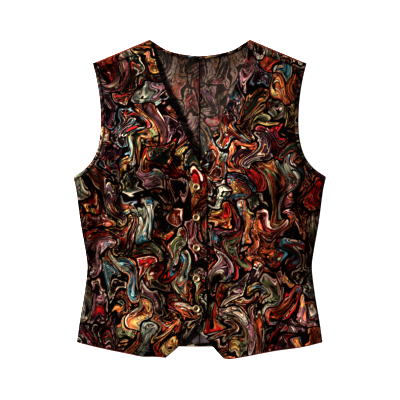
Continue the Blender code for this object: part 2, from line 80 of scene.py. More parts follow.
# Narrow widths, gaps and edges of the cut, the same as the solids have. Edges are those of the
# left half, also for the right front.
ARMHOLE_BAND, NECK_BAND, BACK_HEM = 0.0070, 0.0055, 0.0070
SEAM_GAP = 0.00004
SHOULDER_FOLD, FOLD_STEPS = 0.0020, 10
SEAM_DROP_NECK, SEAM_DROP_ARMHOLE = 0.0160, 0.0134
CLOSURE_FOOT = -0.2045
NECK_POINT, SHOULDER_TIP = metres((862, 2804), (1876, 2378))
SIDE_SEAM = metres((2155, -2510), (2096, -2100), (2022, -1670), (1969, -1220), (1998, -930),
                   (2090, -400), (2160, 125), (2214, 388))
ARMHOLE = metres((2214, 388), (1995, 545), (1840, 755), (1755, 1040), (1732, 1370), (1755, 1780),
                 (1815, 2140), (1871, 2358))
BACK_NECK = metres((0, 2512), (250, 2537), (470, 2582), (620, 2638), (750, 2718), (854, 2785))
BACK_HEM_LINE = metres((0, -2590), (1100, -2570), (2155, -2510))
HEM = {
    "right": metres((595, -2778), (780, -2762), (1008, -2758), (1288, -2704), (1708, -2617),
                    (2155, -2510)),
    "left": metres((420, -2797), (560, -2800), (812, -2759), (1092, -2705), (1372, -2655),
                   (1792, -2595), (2155, -2510)),
}
CUTAWAY = {
    "right": metres((595, -2778), (400, -2612), (190, -2395), (-35, -2160), (-121, -2045)),
    "left": metres((420, -2797), (235, -2589), (129, -2458), (-28, -2321), (-150, -2180),
                   (-229, -2045)),
}
NECK_EDGE = {
    "right": metres((-121, 265), (-72, 430), (18, 633), (193, 1007), (522, 1742), (709, 2209),
                    (862, 2804)),
    "left": metres((-229, 265), (-150, 420), (0, 633), (133, 860), (385, 1420), (610, 1960),
                   (770, 2407), (862, 2804)),
}
ALONG_SHOULDER = (SHOULDER_TIP - NECK_POINT) / np.linalg.norm(SHOULDER_TIP - NECK_POINT)
OUTWARD = np.array([-ALONG_SHOULDER[1], ALONG_SHOULDER[0]])

# Thickness of the cloth, and heights of its middle above the surface.
CLOTH, BAND_CLOTH, TRIM_CLOTH = 0.0012, 0.0016, 0.0010
SEAM_HEIGHT, ARMHOLE_HEIGHT, HEM_HEIGHT, BODY_HEIGHT = 0.0021, 0.0034, 0.0050, 0.0072
LEAST_HEIGHT, CHEST_RISE, EDGE_ROLL, SHOULDER_FALL = 0.0034, 0.0034, 0.0055, 0.060
LAP_RISE, LAP_FADE = 0.0021, (-0.062, -0.026)
# Lift of each front's neck edge, its width, and the spans of y over which it comes and goes.
NECK_LIFT = {"right": (0.0018, 0.017, (0.030, 0.150), (0.232, 0.264)),
             "left": (0.0014, 0.015, (0.080, 0.125), (0.190, 0.262))}
# The last of these scales the painted light on fold crests and the painted shade in fold troughs.
CRUMPLE, FOLD_CHANGE, FOLD_PAINTED_LIGHT = 0.00046, 0.45, 110.0
SEAM_DIP, SEAM_DIP_WIDTH, EDGE_DIP = 0.0006, 0.0022, 0.00025
STITCH_LINE, STITCH_DIP = 0.0030, 0.00030

# Folds: a ridge, or a trough where its height is below 0, from x, y to x, y. Then
# come how far its middle bends sideways, its half width and its height.
FOLDS = metres(
    (-1640, 780, -1560, -980, 40, 85, 46), (-1760, 640, -1700, -620, 20, 48, -30),
    (-1890, 520, -1800, -1000, 30, 60, -26), (-1400, 500, -1380, -700, 30, 70, -24),
    (-1520, 1560, -1120, 500, 100, 210, 32), (-2020, -900, -260, 20, -200, 95, 34),
    (-1800, -1130, -500, -520, -140, 80, -22), (-310, 380, -150, -220, 0, 90, -24),
    (-1150, -1350, -1360, -2690, 60, 140, 30), (-1720, -1550, -1820, -2600, 30, 110, 20),
    (-560, -1450, -740, -2740, 40, 120, -18), (1500, 700, 1460, -840, -30, 80, -38),
    (1670, 540, 1600, -340, -20, 60, 34), (1300, 640, 1230, -920, -40, 110, 32),
    (1880, 340, 1800, -740, -30, 85, -24), (560, 1480, 900, 380, -80, 200, 26),
    (2020, -960, 520, -440, 140, 110, 24), (1240, -1500, 1420, -2620, -50, 130, 30),
    (580, -1400, 700, -2740, -30, 120, -18), (1820, -1600, 1900, -2540, -30, 100, 18),
)
# Smaller creases, in the same form.
CREASES = metres(
    (-120, 180, -700, 360, 40, 30, 9), (-140, 60, -640, -60, -30, 32, -8),
    (-140, -320, -760, -260, 30, 30, 8), (-150, -460, -700, -640, -30, 28, -7),
    (-140, -850, -880, -900, 20, 32, 10), (-150, -1010, -800, -1120, -30, 30, -8),
    (-140, -1380, -640, -1330, 30, 28, 7), (-150, -1900, -560, -2060, -20, 30, 8),
    (140, 100, 700, 300, -40, 32, 8), (140, -400, 720, -300, 30, 30, -7),
    (140, -880, 900, -840, -30, 30, 10), (140, -1240, 640, -1340, 30, 28, -7),
    (140, -1760, 700, -1700, 20, 30, 8), (-1760, -1180, -1120, -1080, 30, 34, -10),
    (-1880, -1320, -1240, -1400, -30, 34, 9), (1780, -1150, 1080, -1060, -30, 34, -10),
    (1880, -1300, 1300, -1420, 30, 34, 9), (-1560, 2020, -1120, 1500, 50, 40, 9),
    (-1300, 2100, -980, 1640, -40, 42, -8), (1500, 2050, 1080, 1560, -50, 40, 9),
    (1220, 2120, 920, 1700, 40, 42, -8), (-1500, -1720, -1460, -2560, 40, 46, -11),
    (-880, -1660, -960, -2640, -30, 44, 10), (920, -1700, 980, -2620, 30, 46, 10),
    (1580, -1760, 1640, -2540, -30, 46, -11), (-1970, 560, -1870, -180, 40, 62, -17),
    (-1800, 740, -1660, -340, -50, 46, 17), (-1720, 300, -1540, -780, 50, 34, -13),
    (-1460, 540, -1330, -560, -60, 52, 14), (-1340, -100, -1180, -860, 40, 40, -12),
    (-1940, -860, -1500, -980, 30, 36, 12), (1380, 860, 1330, -240, 60, 50, -16),
    (1560, 620, 1450, -600, -50, 42, 16), (1780, 480, 1690, -520, 40, 46, -14),
    (1980, 180, 1850, -700, -40, 50, 14), (1220, 240, 1040, -660, 50, 46, 13),
    (-620, 1880, -1060, 1080, 60, 46, -12), (-420, 1240, -960, 560, -60, 50, 13),
    (-300, 700, -880, 120, 50, 44, -14), (420, 1320, 760, 600, -50, 48, 13),
    (300, 660, 620, -40, 40, 44, -12),
)
# Spots of painted light (strength above 0) and painted shade on the print: x, y and radius in
# tenths of a millimetre, and strength.
PAINTED_LIGHT_SPOTS = (
    (-1080, 1040, 360, 0.66), (-830, 1390, 280, 0.40), (-1300, 1960, 310, -0.85),
    (-520, 480, 240, -0.45), (-430, 170, 210, -1.00), (-240, -640, 320, 0.60),
    (-1020, -140, 300, 0.65), (-640, -1620, 280, -0.50), (-600, -2480, 240, 0.55),
    (480, -1920, 280, 0.50), (1860, 2000, 300, -0.50), (1080, -560, 220, 0.50),
    (-1900, 80, 260, -0.35), (-1180, 100, 280, 0.25), (-880, -1240, 260, -0.35),
    (-1480, -1220, 280, 0.22), (-1950, -2260, 240, -0.40), (-360, -2250, 260, 0.30),
    (660, 940, 320, 0.65), (1060, 1060, 280, 0.35), (1500, 80, 360, -0.85),
    (1970, 0, 280, -1.05), (460, 240, 280, 0.55), (700, -1260, 320, 0.45),
    (1480, -1300, 300, -0.65), (1220, -1740, 280, -0.45), (900, -2560, 260, -0.50),
    (1900, -2160, 300, 0.25), (1420, 1900, 340, -0.20), (-1880, -700, 360, -0.70),
    (1880, -800, 360, -0.75), (-1560, 500, 260, -0.45), (-1450, 2350, 300, -0.60),
    (1300, 2450, 260, -0.30), (240, -2150, 200, -0.65), (-590, 1620, 120, -0.90),
)

# Whirls of the print: spacing, how far out they go, and the least and most radius and angle.
WHIRL_PITCH, WHIRL_REACH = 0.056, 0.33
WHIRL_RADIUS, WHIRL_ANGLE, WHIRL_JITTER = (0.016, 0.036), (0.5, 1.55), (-0.42, 0.42)
PRINT_STRETCH = (1.22, 0.76)


def even(count: int) -> Places:
    """Evenly spaced fractions from 0 to 1, for a number of divisions."""
    return np.linspace(0.0, 1.0, count + 1)


def close_at_ends(count: int) -> Places:
    """Fractions from 0 to 1 with narrow steps at both ends, where a seam dips."""
    near = np.array([0.0022, 0.0052, 0.0092, 0.0122, 0.0140, 0.0162])
    return np.unique(np.concatenate([even(count), near, 1.0 - near]))


def smooth_step(value: Places, low: float, high: float) -> Places:
    """Rise from 0 at low to 1 at high: 3 t squared less 2 t cubed."""
    t = np.clip((value - low) / (high - low), 0.0, 1.0)
    return t * t * (3.0 - 2.0 * t)


def bell(value: Places, width: float) -> Places:
    """Bell curve: 1 where the value is 0, and 1 / e at the width."""
    return np.exp(-((value / width) ** 2))


def run_along(*lines: Places) -> Places:
    """Length run at each point of a line, or of several lines of as many points together."""
    steps = sum(np.linalg.norm(np.diff(line, axis=0), axis=1) for line in lines)
    return np.concatenate([[0.0], np.cumsum(steps)])


def travelled(*lines: Places) -> Places:
    """Fractions of the length run along one line, or along two together."""
    run = run_along(*lines)
    return run / run[-1]


def along_line(line: Places, fractions: Places) -> Places:
    """Places at fractions of the length of a line of many points."""
    run = run_along(line)
    places = np.asarray(fractions) * run[-1]
    return np.column_stack([np.interp(places, run, line[:, axis]) for axis in range(2)])


def smooth_line(points: Places, fractions: Places) -> Places:
    """Places at fractions of the length of a smooth line through a few points.

    Each span is the cubic whose end slopes are half the step between its neighbours.
    """
    padded = np.vstack([2 * points[0] - points[1], points, 2 * points[-1] - points[-2]])
    before, here, there, after = padded[:-3], padded[1:-2], padded[2:-1], padded[3:]
    step = np.linspace(0.0, 1.0, 24)[None, :, None]
    linear = (there - before)[:, None]
    square = (2 * before - 5 * here + 4 * there - after)[:, None]
    cubic = (3 * here - 3 * there + after - before)[:, None]
    spans = here[:, None] + 0.5 * (linear * step + square * step**2 + cubic * step**3)
    return along_line(spans.reshape(-1, 2), fractions)


def rightward(line: Places) -> Places:
    """Unit normals of a line of many points, to the right of the way it runs."""
    tangent = np.gradient(line, axis=0)
    tangent /= np.linalg.norm(tangent, axis=1)[:, None]
    return np.column_stack([tangent[:, 1], -tangent[:, 0]])


def patch(left: Places, right: Places, bottom: Places, top: Places, u: Places, v: Places) -> Places:
    """Coons patch between four edges that share their corners, rows by columns by 2.

    A place is the blend of the two sides, plus the blend of the two ends, less the blend of the
    four corners. u holds the fractions of the columns, and v those of the rows.
    """
    across, up = u[None, :, None], v[:, None, None]
    sides = (1 - across) * left[:, None] + across * right[:, None]
    ends = (1 - up) * bottom[None] + up * top[None]
    corners = (1 - across) * (1 - up) * bottom[0] + across * (1 - up) * bottom[-1]
    corners = corners + (1 - across) * up * top[0] + across * up * top[-1]
    return sides + ends - corners


def between(inner: Places, outer: Places, divisions: int) -> Places:
    """Rows of places between two edges with as many points."""
    t = even(divisions)[None, :, None]
    return inner[:, None] * (1 - t) + outer[:, None] * t


def with_height(plan: Places, height: Places) -> Places:
    """Join plan places with heights into places in space."""
    return np.concatenate([plan, np.broadcast_to(height, plan.shape[:-1])[..., None]], axis=-1)


def grid_area(grid: Places) -> float:
    """Area of a grid of plan places: half the cross product of each cell's diagonals, summed."""
    first, second = grid[1:, 1:] - grid[:-1, :-1], grid[1:, :-1] - grid[:-1, 1:]
    return float(np.abs(first[..., 0] * second[..., 1] - first[..., 1] * second[..., 0]).sum() / 2)


def value_noise(x: Places, y: Places, size: float, seed: int) -> Places:
    """Smooth random heights from -1 to 1, whose bumps are about size across.

    Random values on a square lattice are blended with smooth steps in both directions.
    """
    side = 128
    lattice = np.random.default_rng(seed).uniform(-1.0, 1.0, (side, side))
    column, row = np.floor(x / size).astype(int), np.floor(y / size).astype(int)
    fx, fy = x / size - column, y / size - row
    fx, fy = fx * fx * (3 - 2 * fx), fy * fy * (3 - 2 * fy)
    low, high = (lattice[at % side, column % side] * (1 - fx)
                 + lattice[at % side, (column + 1) % side] * fx for at in (row, row + 1))
    return low * (1 - fy) + high * fy


def below_shoulder(plan: Places) -> Places:
    """Distance of places below the shoulder edge, the same on both halves."""
    run = (NECK_POINT[0] - np.abs(plan[..., 0])) * OUTWARD[0]
    return run + (NECK_POINT[1] - plan[..., 1]) * OUTWARD[1]


def inward_from_side(plan: Places) -> Places:
    """Distance of places inside the side seam or armhole, measured across."""
    lines = [smooth_line(SIDE_SEAM, even(FINE)), smooth_line(ARMHOLE, even(FINE))[1:]]
    outline = np.vstack([*lines, SHOULDER_TIP])
    half_width = np.interp(plan[..., 1], outline[:, 1], outline[:, 0])
    return np.maximum(half_width - np.abs(plan[..., 0]), 0.0)


def inset_armhole(distance: float, rows: int) -> tuple[Places, Places]:
    """The left armhole moved into the cloth, and the armhole itself, from the underarm up.

    The ends of the inset edge slide along the side seam and the shoulder edge.
    """
    outer = smooth_line(ARMHOLE, even(rows) ** 1.15)
    inward = -rightward(outer)
    down = SIDE_SEAM[-2] - SIDE_SEAM[-1]
    for row, slide in ((0, down / np.linalg.norm(down)), (-1, -ALONG_SHOULDER)):
        inward[row] = slide / np.dot(slide, inward[row])
    return outer + inward * distance, outer


def at_drop(edge: Places, drop: float) -> Places:
    """Where an edge crosses the line that lies drop below the shoulder edge."""
    below = below_shoulder(edge)
    order = np.argsort(below)
    return np.array([np.interp(drop, below[order], edge[order, axis]) for axis in range(2)])


def seam_ends() -> tuple[Places, Places]:
    """Ends of the left shoulder seam, at the neck edge and at the armhole band."""
    neck = smooth_line(NECK_EDGE["left"], even(FINE))
    armhole = along_line(inset_armhole(ARMHOLE_BAND + SEAM_GAP, 60)[0], even(FINE))
    return at_drop(neck, SEAM_DROP_NECK), at_drop(armhole, SEAM_DROP_ARMHOLE)


def ridges(folds: Places, plan: Places) -> Places:
    """Summed height of folds: each the bell curve of the distance from a bowed line.

    A fold fades out towards both its ends.
    """
    x, y = plan[..., 0], plan[..., 1]
    total = np.zeros_like(x)
    for start_x, start_y, end_x, end_y, bow, width, height in folds:
        run = np.array([end_x - start_x, end_y - start_y])
        length = np.linalg.norm(run)
        ux, uy = run / length
        along = ((x - start_x) * ux + (y - start_y) * uy) / length
        across = (y - start_y) * ux - (x - start_x) * uy
        window = np.clip(1.0 - (2.0 * along - 1.0) ** 2, 0.0, None)
        total += height * window * bell(across - bow * window, width)
    return total


def tone(plan: Places) -> Places:
    """Painted light and painted shade on the print: the exponential of the summed bell curves.

    A fold's crest gets painted light and its trough painted shade, by its height. A spot gives
    painted light where its strength is above 0, and painted shade below.
    """
    total = FOLD_PAINTED_LIGHT * ridges(np.vstack([FOLDS, CREASES]), plan)
    for row in PAINTED_LIGHT_SPOTS:
        x, y, radius = metres(row[:3])[0]
        away = (plan[..., 0] - x) ** 2 + (plan[..., 1] - y) ** 2
        total += row[3] * np.exp(-away / radius**2)
    return np.exp(total - 0.05)


def finer(plan: Places) -> Places:
    """Creases and crumple: small ridges, and noise whose folds make soft crests."""
    x, y = plan[..., 0], plan[..., 1]
    coarse = value_noise(x + 0.3 * y, y, 0.030, 3)
    crest = 1.0 - 2.0 * np.abs(value_noise(x - 0.2 * y, y + 0.1 * x, 0.017, 5))
    small = value_noise(x, y, 0.0085, 9)
    return ridges(CREASES, plan) + CRUMPLE * (0.9 * coarse + 0.55 * crest + 0.35 * small)


def upper_cloth(plan: Places) -> Places:
    """Height of the middle of the upper cloth, as in the solids, with creases added."""
    x, y = plan[..., 0], plan[..., 1]
    inward = inward_from_side(plan)
    edge = SEAM_HEIGHT + (ARMHOLE_HEIGHT - SEAM_HEIGHT) * smooth_step(y, 0.030, 0.052)
    body = HEM_HEIGHT + (BODY_HEIGHT - HEM_HEIGHT) * smooth_step(y, -0.270, -0.150)
    chest = np.exp(-(((np.abs(x) - 0.088) / 0.058) ** 2) - ((y - 0.085) / 0.080) ** 2)
    uneven = 1.0 + FOLD_CHANGE * value_noise(x, y - 0.4 * x, 0.024, 15)
    body = body + CHEST_RISE * chest + uneven * ridges(FOLDS, plan)
    body = body + finer(plan) * smooth_step(inward, 0.002, 0.012)
    lying = edge + (body - edge) * (1.0 - np.exp(-inward / EDGE_ROLL))
    least = np.minimum(edge + 0.22 * inward, LEAST_HEIGHT)
    lying = least + np.logaddexp(0.0, (lying - least) / 0.0004) * 0.0004
    fold_top = 0.5 * CLOTH + 2.0 * SHOULDER_FOLD
    return fold_top + (lying - fold_top) * smooth_step(below_shoulder(plan), 0.002, SHOULDER_FALL)


def front_height(side: str, plan: Places) -> Places:
    """Height of a front: its neck edge stands off, and the right front laps over the left."""
    lift, width, rise, fall = NECK_LIFT[side]
    x, y = plan[..., 0], plan[..., 1]
    edge = smooth_line(NECK_EDGE[side], even(FINE))
    inside = SIGN[side] * x - np.interp(y, edge[:, 1], edge[:, 0])
    window = smooth_step(y, *rise) * (1.0 - smooth_step(y, *fall))
    height = upper_cloth(plan)
    if side == "right":
        height = height + LAP_RISE * smooth_step(x, *LAP_FADE)
    return height + lift * window * bell(inside, width)


def swirled(flat: Places, seed: int, turn: float = 0.0) -> Places:
    """Places in the print of flat places on the cloth, after every whirl has turned them.

    A whirl turns a place by its angle times the bell curve of the distance from its centre. The
    third number of a place tells the pieces apart.
    """
    random = np.random.default_rng(seed)
    c, s = math.cos(turn), math.sin(turn)
    x, y = flat[..., 0] * c - flat[..., 1] * s, flat[..., 0] * s + flat[..., 1] * c
    count = int(2 * WHIRL_REACH / WHIRL_PITCH)
    for number in range(count * count):
        jitter = random.uniform(*WHIRL_JITTER, 2)
        radius = random.uniform(*WHIRL_RADIUS)
        angle = random.uniform(*WHIRL_ANGLE)
        angle *= 1.0 if random.uniform() < 0.5 else -1.0
        cx = (number % count + 0.5 + jitter[0]) * WHIRL_PITCH - WHIRL_REACH
        cy = (number // count + 0.5 + jitter[1]) * WHIRL_PITCH - WHIRL_REACH
        dx, dy = x - cx, y - cy
        turned = angle * np.exp(-(dx * dx + dy * dy) / radius**2)
        tc, ts = np.cos(turned), np.sin(turned)
        x, y = cx + dx * tc - dy * ts, cy + dx * ts + dy * tc
    return np.stack([PRINT_STRETCH[0] * x + 1.7 * seed, PRINT_STRETCH[1] * y,
                     np.full_like(x, 0.31 * seed)], axis=-1)


DYES = {
    "black": (0.0024, 0.0014, 0.0012), "soot": (0.0085, 0.0048, 0.0042),
    "maroon": (0.075, 0.0080, 0.0070), "red": (0.36, 0.012, 0.011), "rust": (0.21, 0.042, 0.014),
    "orange": (0.58, 0.150, 0.045), "gold": (0.52, 0.27, 0.075), "cream": (0.72, 0.53, 0.37),
    "olive": (0.100, 0.108, 0.050), "sage": (0.21, 0.22, 0.145), "teal": (0.034, 0.098, 0.112),
    "slate": (0.13, 0.21, 0.24), "mauve": (0.205, 0.088, 0.100), "plum": (0.042, 0.016, 0.026),
    "pine": (0.016, 0.024, 0.015), "blush": (0.52, 0.26, 0.24),
}
WHITE = (1.0, 1.0, 1.0)


def dyed(stops: str) -> tuple:
    """Stops of a ramp, written as the name of a dye and then its place, in turn."""
    words = stops.split()
    return tuple((float(place), DYES[dye]) for dye, place in zip(words[::2], words[1::2]))


class Out:
    """An output of a shader node: arithmetic on it adds the node that works it out."""

    def __init__(self, nodes: "Nodes", socket: bpy.types.NodeSocket) -> None:
        """Keep the socket, and the tree's Nodes."""
        self.nodes, self.socket = nodes, socket

    def __add__(self, other: object) -> "Out":
        """Sum of two numbers or two vectors."""
        return self.nodes.compute("ADD", self, other)

    def __sub__(self, other: object) -> "Out":
        """Difference of two numbers or two vectors."""
        return self.nodes.compute("SUBTRACT", self, other)

    def __rsub__(self, other: float) -> "Out":
        """A plain number less this one."""
        return self.nodes.math("SUBTRACT", other, self)

    def __mul__(self, other: object) -> "Out":
        """Product of two numbers, or a vector scaled by a number."""
        return self.nodes.compute("MULTIPLY", self, other)

    def __gt__(self, other: float) -> "Out":
        """1 where this is the larger."""
        return self.nodes.math("GREATER_THAN", self, other)

    def __lt__(self, other: float) -> "Out":
        """1 where this is the smaller."""
        return self.nodes.math("LESS_THAN", self, other)


class Nodes:
    """A short way to write a node tree: each method adds a node and returns its outputs."""

    def __init__(self, tree: bpy.types.NodeTree) -> None:
        """Keep the tree that nodes are added to."""
        self.tree = tree

    def feed(self, socket: bpy.types.NodeSocket, value: object) -> None:
        """Link an output to a socket, or set the socket to a plain value."""
        if isinstance(value, Out):
            self.tree.links.new(value.socket, socket)
        else:
            socket.default_value = (*value, 1.0) if socket.type == "RGBA" else value

    def node(self, kind: str, inputs: dict, **settings: object) -> bpy.types.Node:
        """Add a node of a kind, with its settings and what goes into it."""
        made = self.tree.nodes.new("ShaderNode" + kind)
        for name, value in settings.items():
            setattr(made, name, value)
        for name, value in inputs.items():
            self.feed(made.inputs[name], value)
        return made

    def add(self, kind: str, inputs: dict, **settings: object) -> dict:
        """Add a node and give its outputs by number and by name."""
        outputs = {}
        for number, socket in enumerate(self.node(kind, inputs, **settings).outputs):
            outputs[number] = Out(self, socket)
            outputs.setdefault(socket.name, outputs[number])
        return outputs

    def math(self, operation: str, *values: object) -> Out:
        """A Math node of one or two numbers."""
        return self.add("Math", dict(enumerate(values)), operation=operation)[0]

    def compute(self, operation: str, first: Out, second: object) -> Out:
        """Arithmetic on numbers, on two vectors, or on a vector and the number that scales it."""
        if first.socket.type not in {"VECTOR", "RGBA"}:
            return self.math(operation, first, second)
        if operation == "MULTIPLY":
            return self.add("VectorMath", {0: first, "Scale": second}, operation="SCALE")[0]
        return self.add("VectorMath", {0: first, 1: second}, operation=operation)[0]

    def step(self, value: Out, low: float, high: float) -> Out:
        """Smooth rise from 0 at low to 1 at high, or a fall where low is the larger."""
        first, last = (0.0, 1.0) if low < high else (1.0, 0.0)
        return self.add("MapRange", {
            "Value": value, "From Min": min(low, high), "From Max": max(low, high),
            "To Min": first, "To Max": last}, interpolation_type="SMOOTHSTEP")["Result"]

    def band(self, value: Out, low: float, high: float, soft: float) -> Out:
        """1 between low and high, with soft edges, and 0 outside."""
        return self.step(value, low - soft, low + soft) * self.step(value, high + soft, high - soft)

    def mix(self, share: object, first: object, second: object, blend: str = "MIX") -> Out:
        """Mix two colours by a share."""
        return self.add("Mix", {"Factor": share, 6: first, 7: second}, data_type="RGBA",
                        blend_type=blend)[2]

    def times(self, first: object, second: object) -> Out:
        """Product of two colours."""
        return self.mix(1.0, first, second, "MULTIPLY")

    def most(self, *values: Out) -> Out:
        """The largest of several numbers."""
        largest = values[0]
        for value in values[1:]:
            largest = self.math("MAXIMUM", largest, value)
        return largest

    def noise(self, place: Out, scale: float, detail: float = 1.0, distortion: float = 0.0) -> dict:
        """Noise: its value goes by the number 0."""
        return self.add("TexNoise", {"Vector": place, "Scale": scale, "Detail": detail,
                                     "Distortion": distortion}, noise_dimensions="3D")

    def cells(self, place: Out, scale: float, feature: str = "F1") -> dict:
        """Voronoi cells in the plane."""
        return self.add("TexVoronoi", {"Vector": place, "Scale": scale, "Randomness": 1.0},
                        voronoi_dimensions="2D", feature=feature)

    def parts(self, value: Out, kind: str = "Color") -> tuple[Out, Out, Out]:
        """The three numbers of a colour, or of a vector where kind is XYZ."""
        made = self.add("Separate" + kind, {0: value})
        return made[0], made[1], made[2]

    def ramp(self, value: Out, stops: Sequence[tuple], steps: bool = False) -> Out:
        """A Color Ramp, smooth or in steps. A stop is a place, and a colour or a grey."""
        made = self.node("ValToRGB", {"Fac": value})
        made.color_ramp.interpolation = "CONSTANT" if steps else "LINEAR"
        elements = made.color_ramp.elements
        while len(elements) < len(stops):
            elements.new(0.5)
        for element, (place, colour) in zip(elements, stops):
            element.position = place
            element.color = (*(colour if isinstance(colour, tuple) else (colour,) * 3), 1.0)
        return Out(self, made.outputs["Color"])

    def bump(self, height: Out, distance: float, **more: object) -> Out:
        """The normal of a bumpy surface."""
        return self.add("Bump", {"Height": height, "Distance": distance, **more})["Normal"]

    def attribute(self, name: str, output: str) -> Out:
        """An attribute of the cloth's points."""
        return self.add("Attribute", {}, attribute_name=name)[output]


class Group(Nodes):
    """A node group with named sockets: a kind and a default for inputs, a kind for outputs."""

    def __init__(self, name: str, inputs: dict[str, tuple], outputs: dict[str, str]) -> None:
        """Start the group and its two end nodes."""
        super().__init__(bpy.data.node_groups.new(name, "ShaderNodeTree"))
        sockets = self.tree.interface
        for label, (kind, default) in inputs.items():
            made = sockets.new_socket(name=label, in_out="INPUT", socket_type="NodeSocket" + kind)
            if default is not None:
                made.default_value = default
        for label, kind in outputs.items():
            sockets.new_socket(name=label, in_out="OUTPUT", socket_type="NodeSocket" + kind)
        self.entry = self.tree.nodes.new("NodeGroupInput")
        self.end = self.tree.nodes.new("NodeGroupOutput")

    def given(self, name: str) -> Out:
        """One of the group's inputs."""
        return Out(self, self.entry.outputs[name])

    def give(self, **values: Out) -> bpy.types.NodeTree:
        """Feed the group's outputs, and return its tree."""
        for name, value in values.items():
            self.feed(self.end.inputs[name], value)
        return self.tree


def modelled_bands() -> bpy.types.NodeTree:
    """Node group of bands: each whole number of Value is one band with a colour of its own.

    A band is drawn as if round: black at its edges, bright along one side of its middle. Its
    colour is picked from one of three families by a random number for the band and the cell.
    Lined and Line are the mask and colour of the light line in it, and Ink is the mask of the
    black lines on both sides of that.
    """
    n = Group("modelled_bands", {name: ("Float", 0.0) for name in ("Value", "Cell", "Family")},
              {"Colour": "Color", "Shade": "Float", "Lined": "Float", "Line": "Color",
               "Ink": "Float"})
    value, family = n.given("Value"), n.given("Family")
    seed = n.add("CombineXYZ", {0: n.math("FLOOR", value),
                                1: n.math("FLOOR", n.given("Cell") * 997.0)})[0]
    pick = n.add("TexWhiteNoise", {"Vector": seed}, noise_dimensions="2D")
    warm, cool, dusk = (n.ramp(pick["Value"], dyed(stops), steps=True) for stops in (
        "soot 0 maroon .10 red .24 rust .36 orange .52 black .68 gold .78 cream .96",
        "black 0 teal .11 olive .33 slate .45 soot .55 sage .66 maroon .82 cream .97",
        "plum 0 maroon .16 mauve .30 black .46 red .55 rust .63 sage .73 blush .86"))
    colour = n.mix(family > 0.74, n.mix(family > 0.48, warm, cool), dusk)
    part = n.math("FRACT", value)
    shade = n.ramp(part, ((0.00, 0.0), (0.08, 0.0), (0.13, 0.9), (0.20, 0.9), (0.25, 0.30),
                          (0.52, 0.55), (0.80, 1.0), (0.92, 0.70), (0.96, 0.0)))
    _, chance, hue = n.parts(pick["Color"])
    lined = n.band(part, 0.10, 0.20, 0.012) * (chance > 0.10)
    line = n.ramp(hue, dyed("cream 0 red .30 blush .42 orange .56 gold .68 sage .84"), steps=True)
    ink = n.most(n.band(part, 0.02, 0.08, 0.012), n.band(part, 0.22, 0.26, 0.012))
    return n.give(Colour=n.mix(lined, colour, line), Shade=shade, Lined=lined, Line=line, Ink=ink)


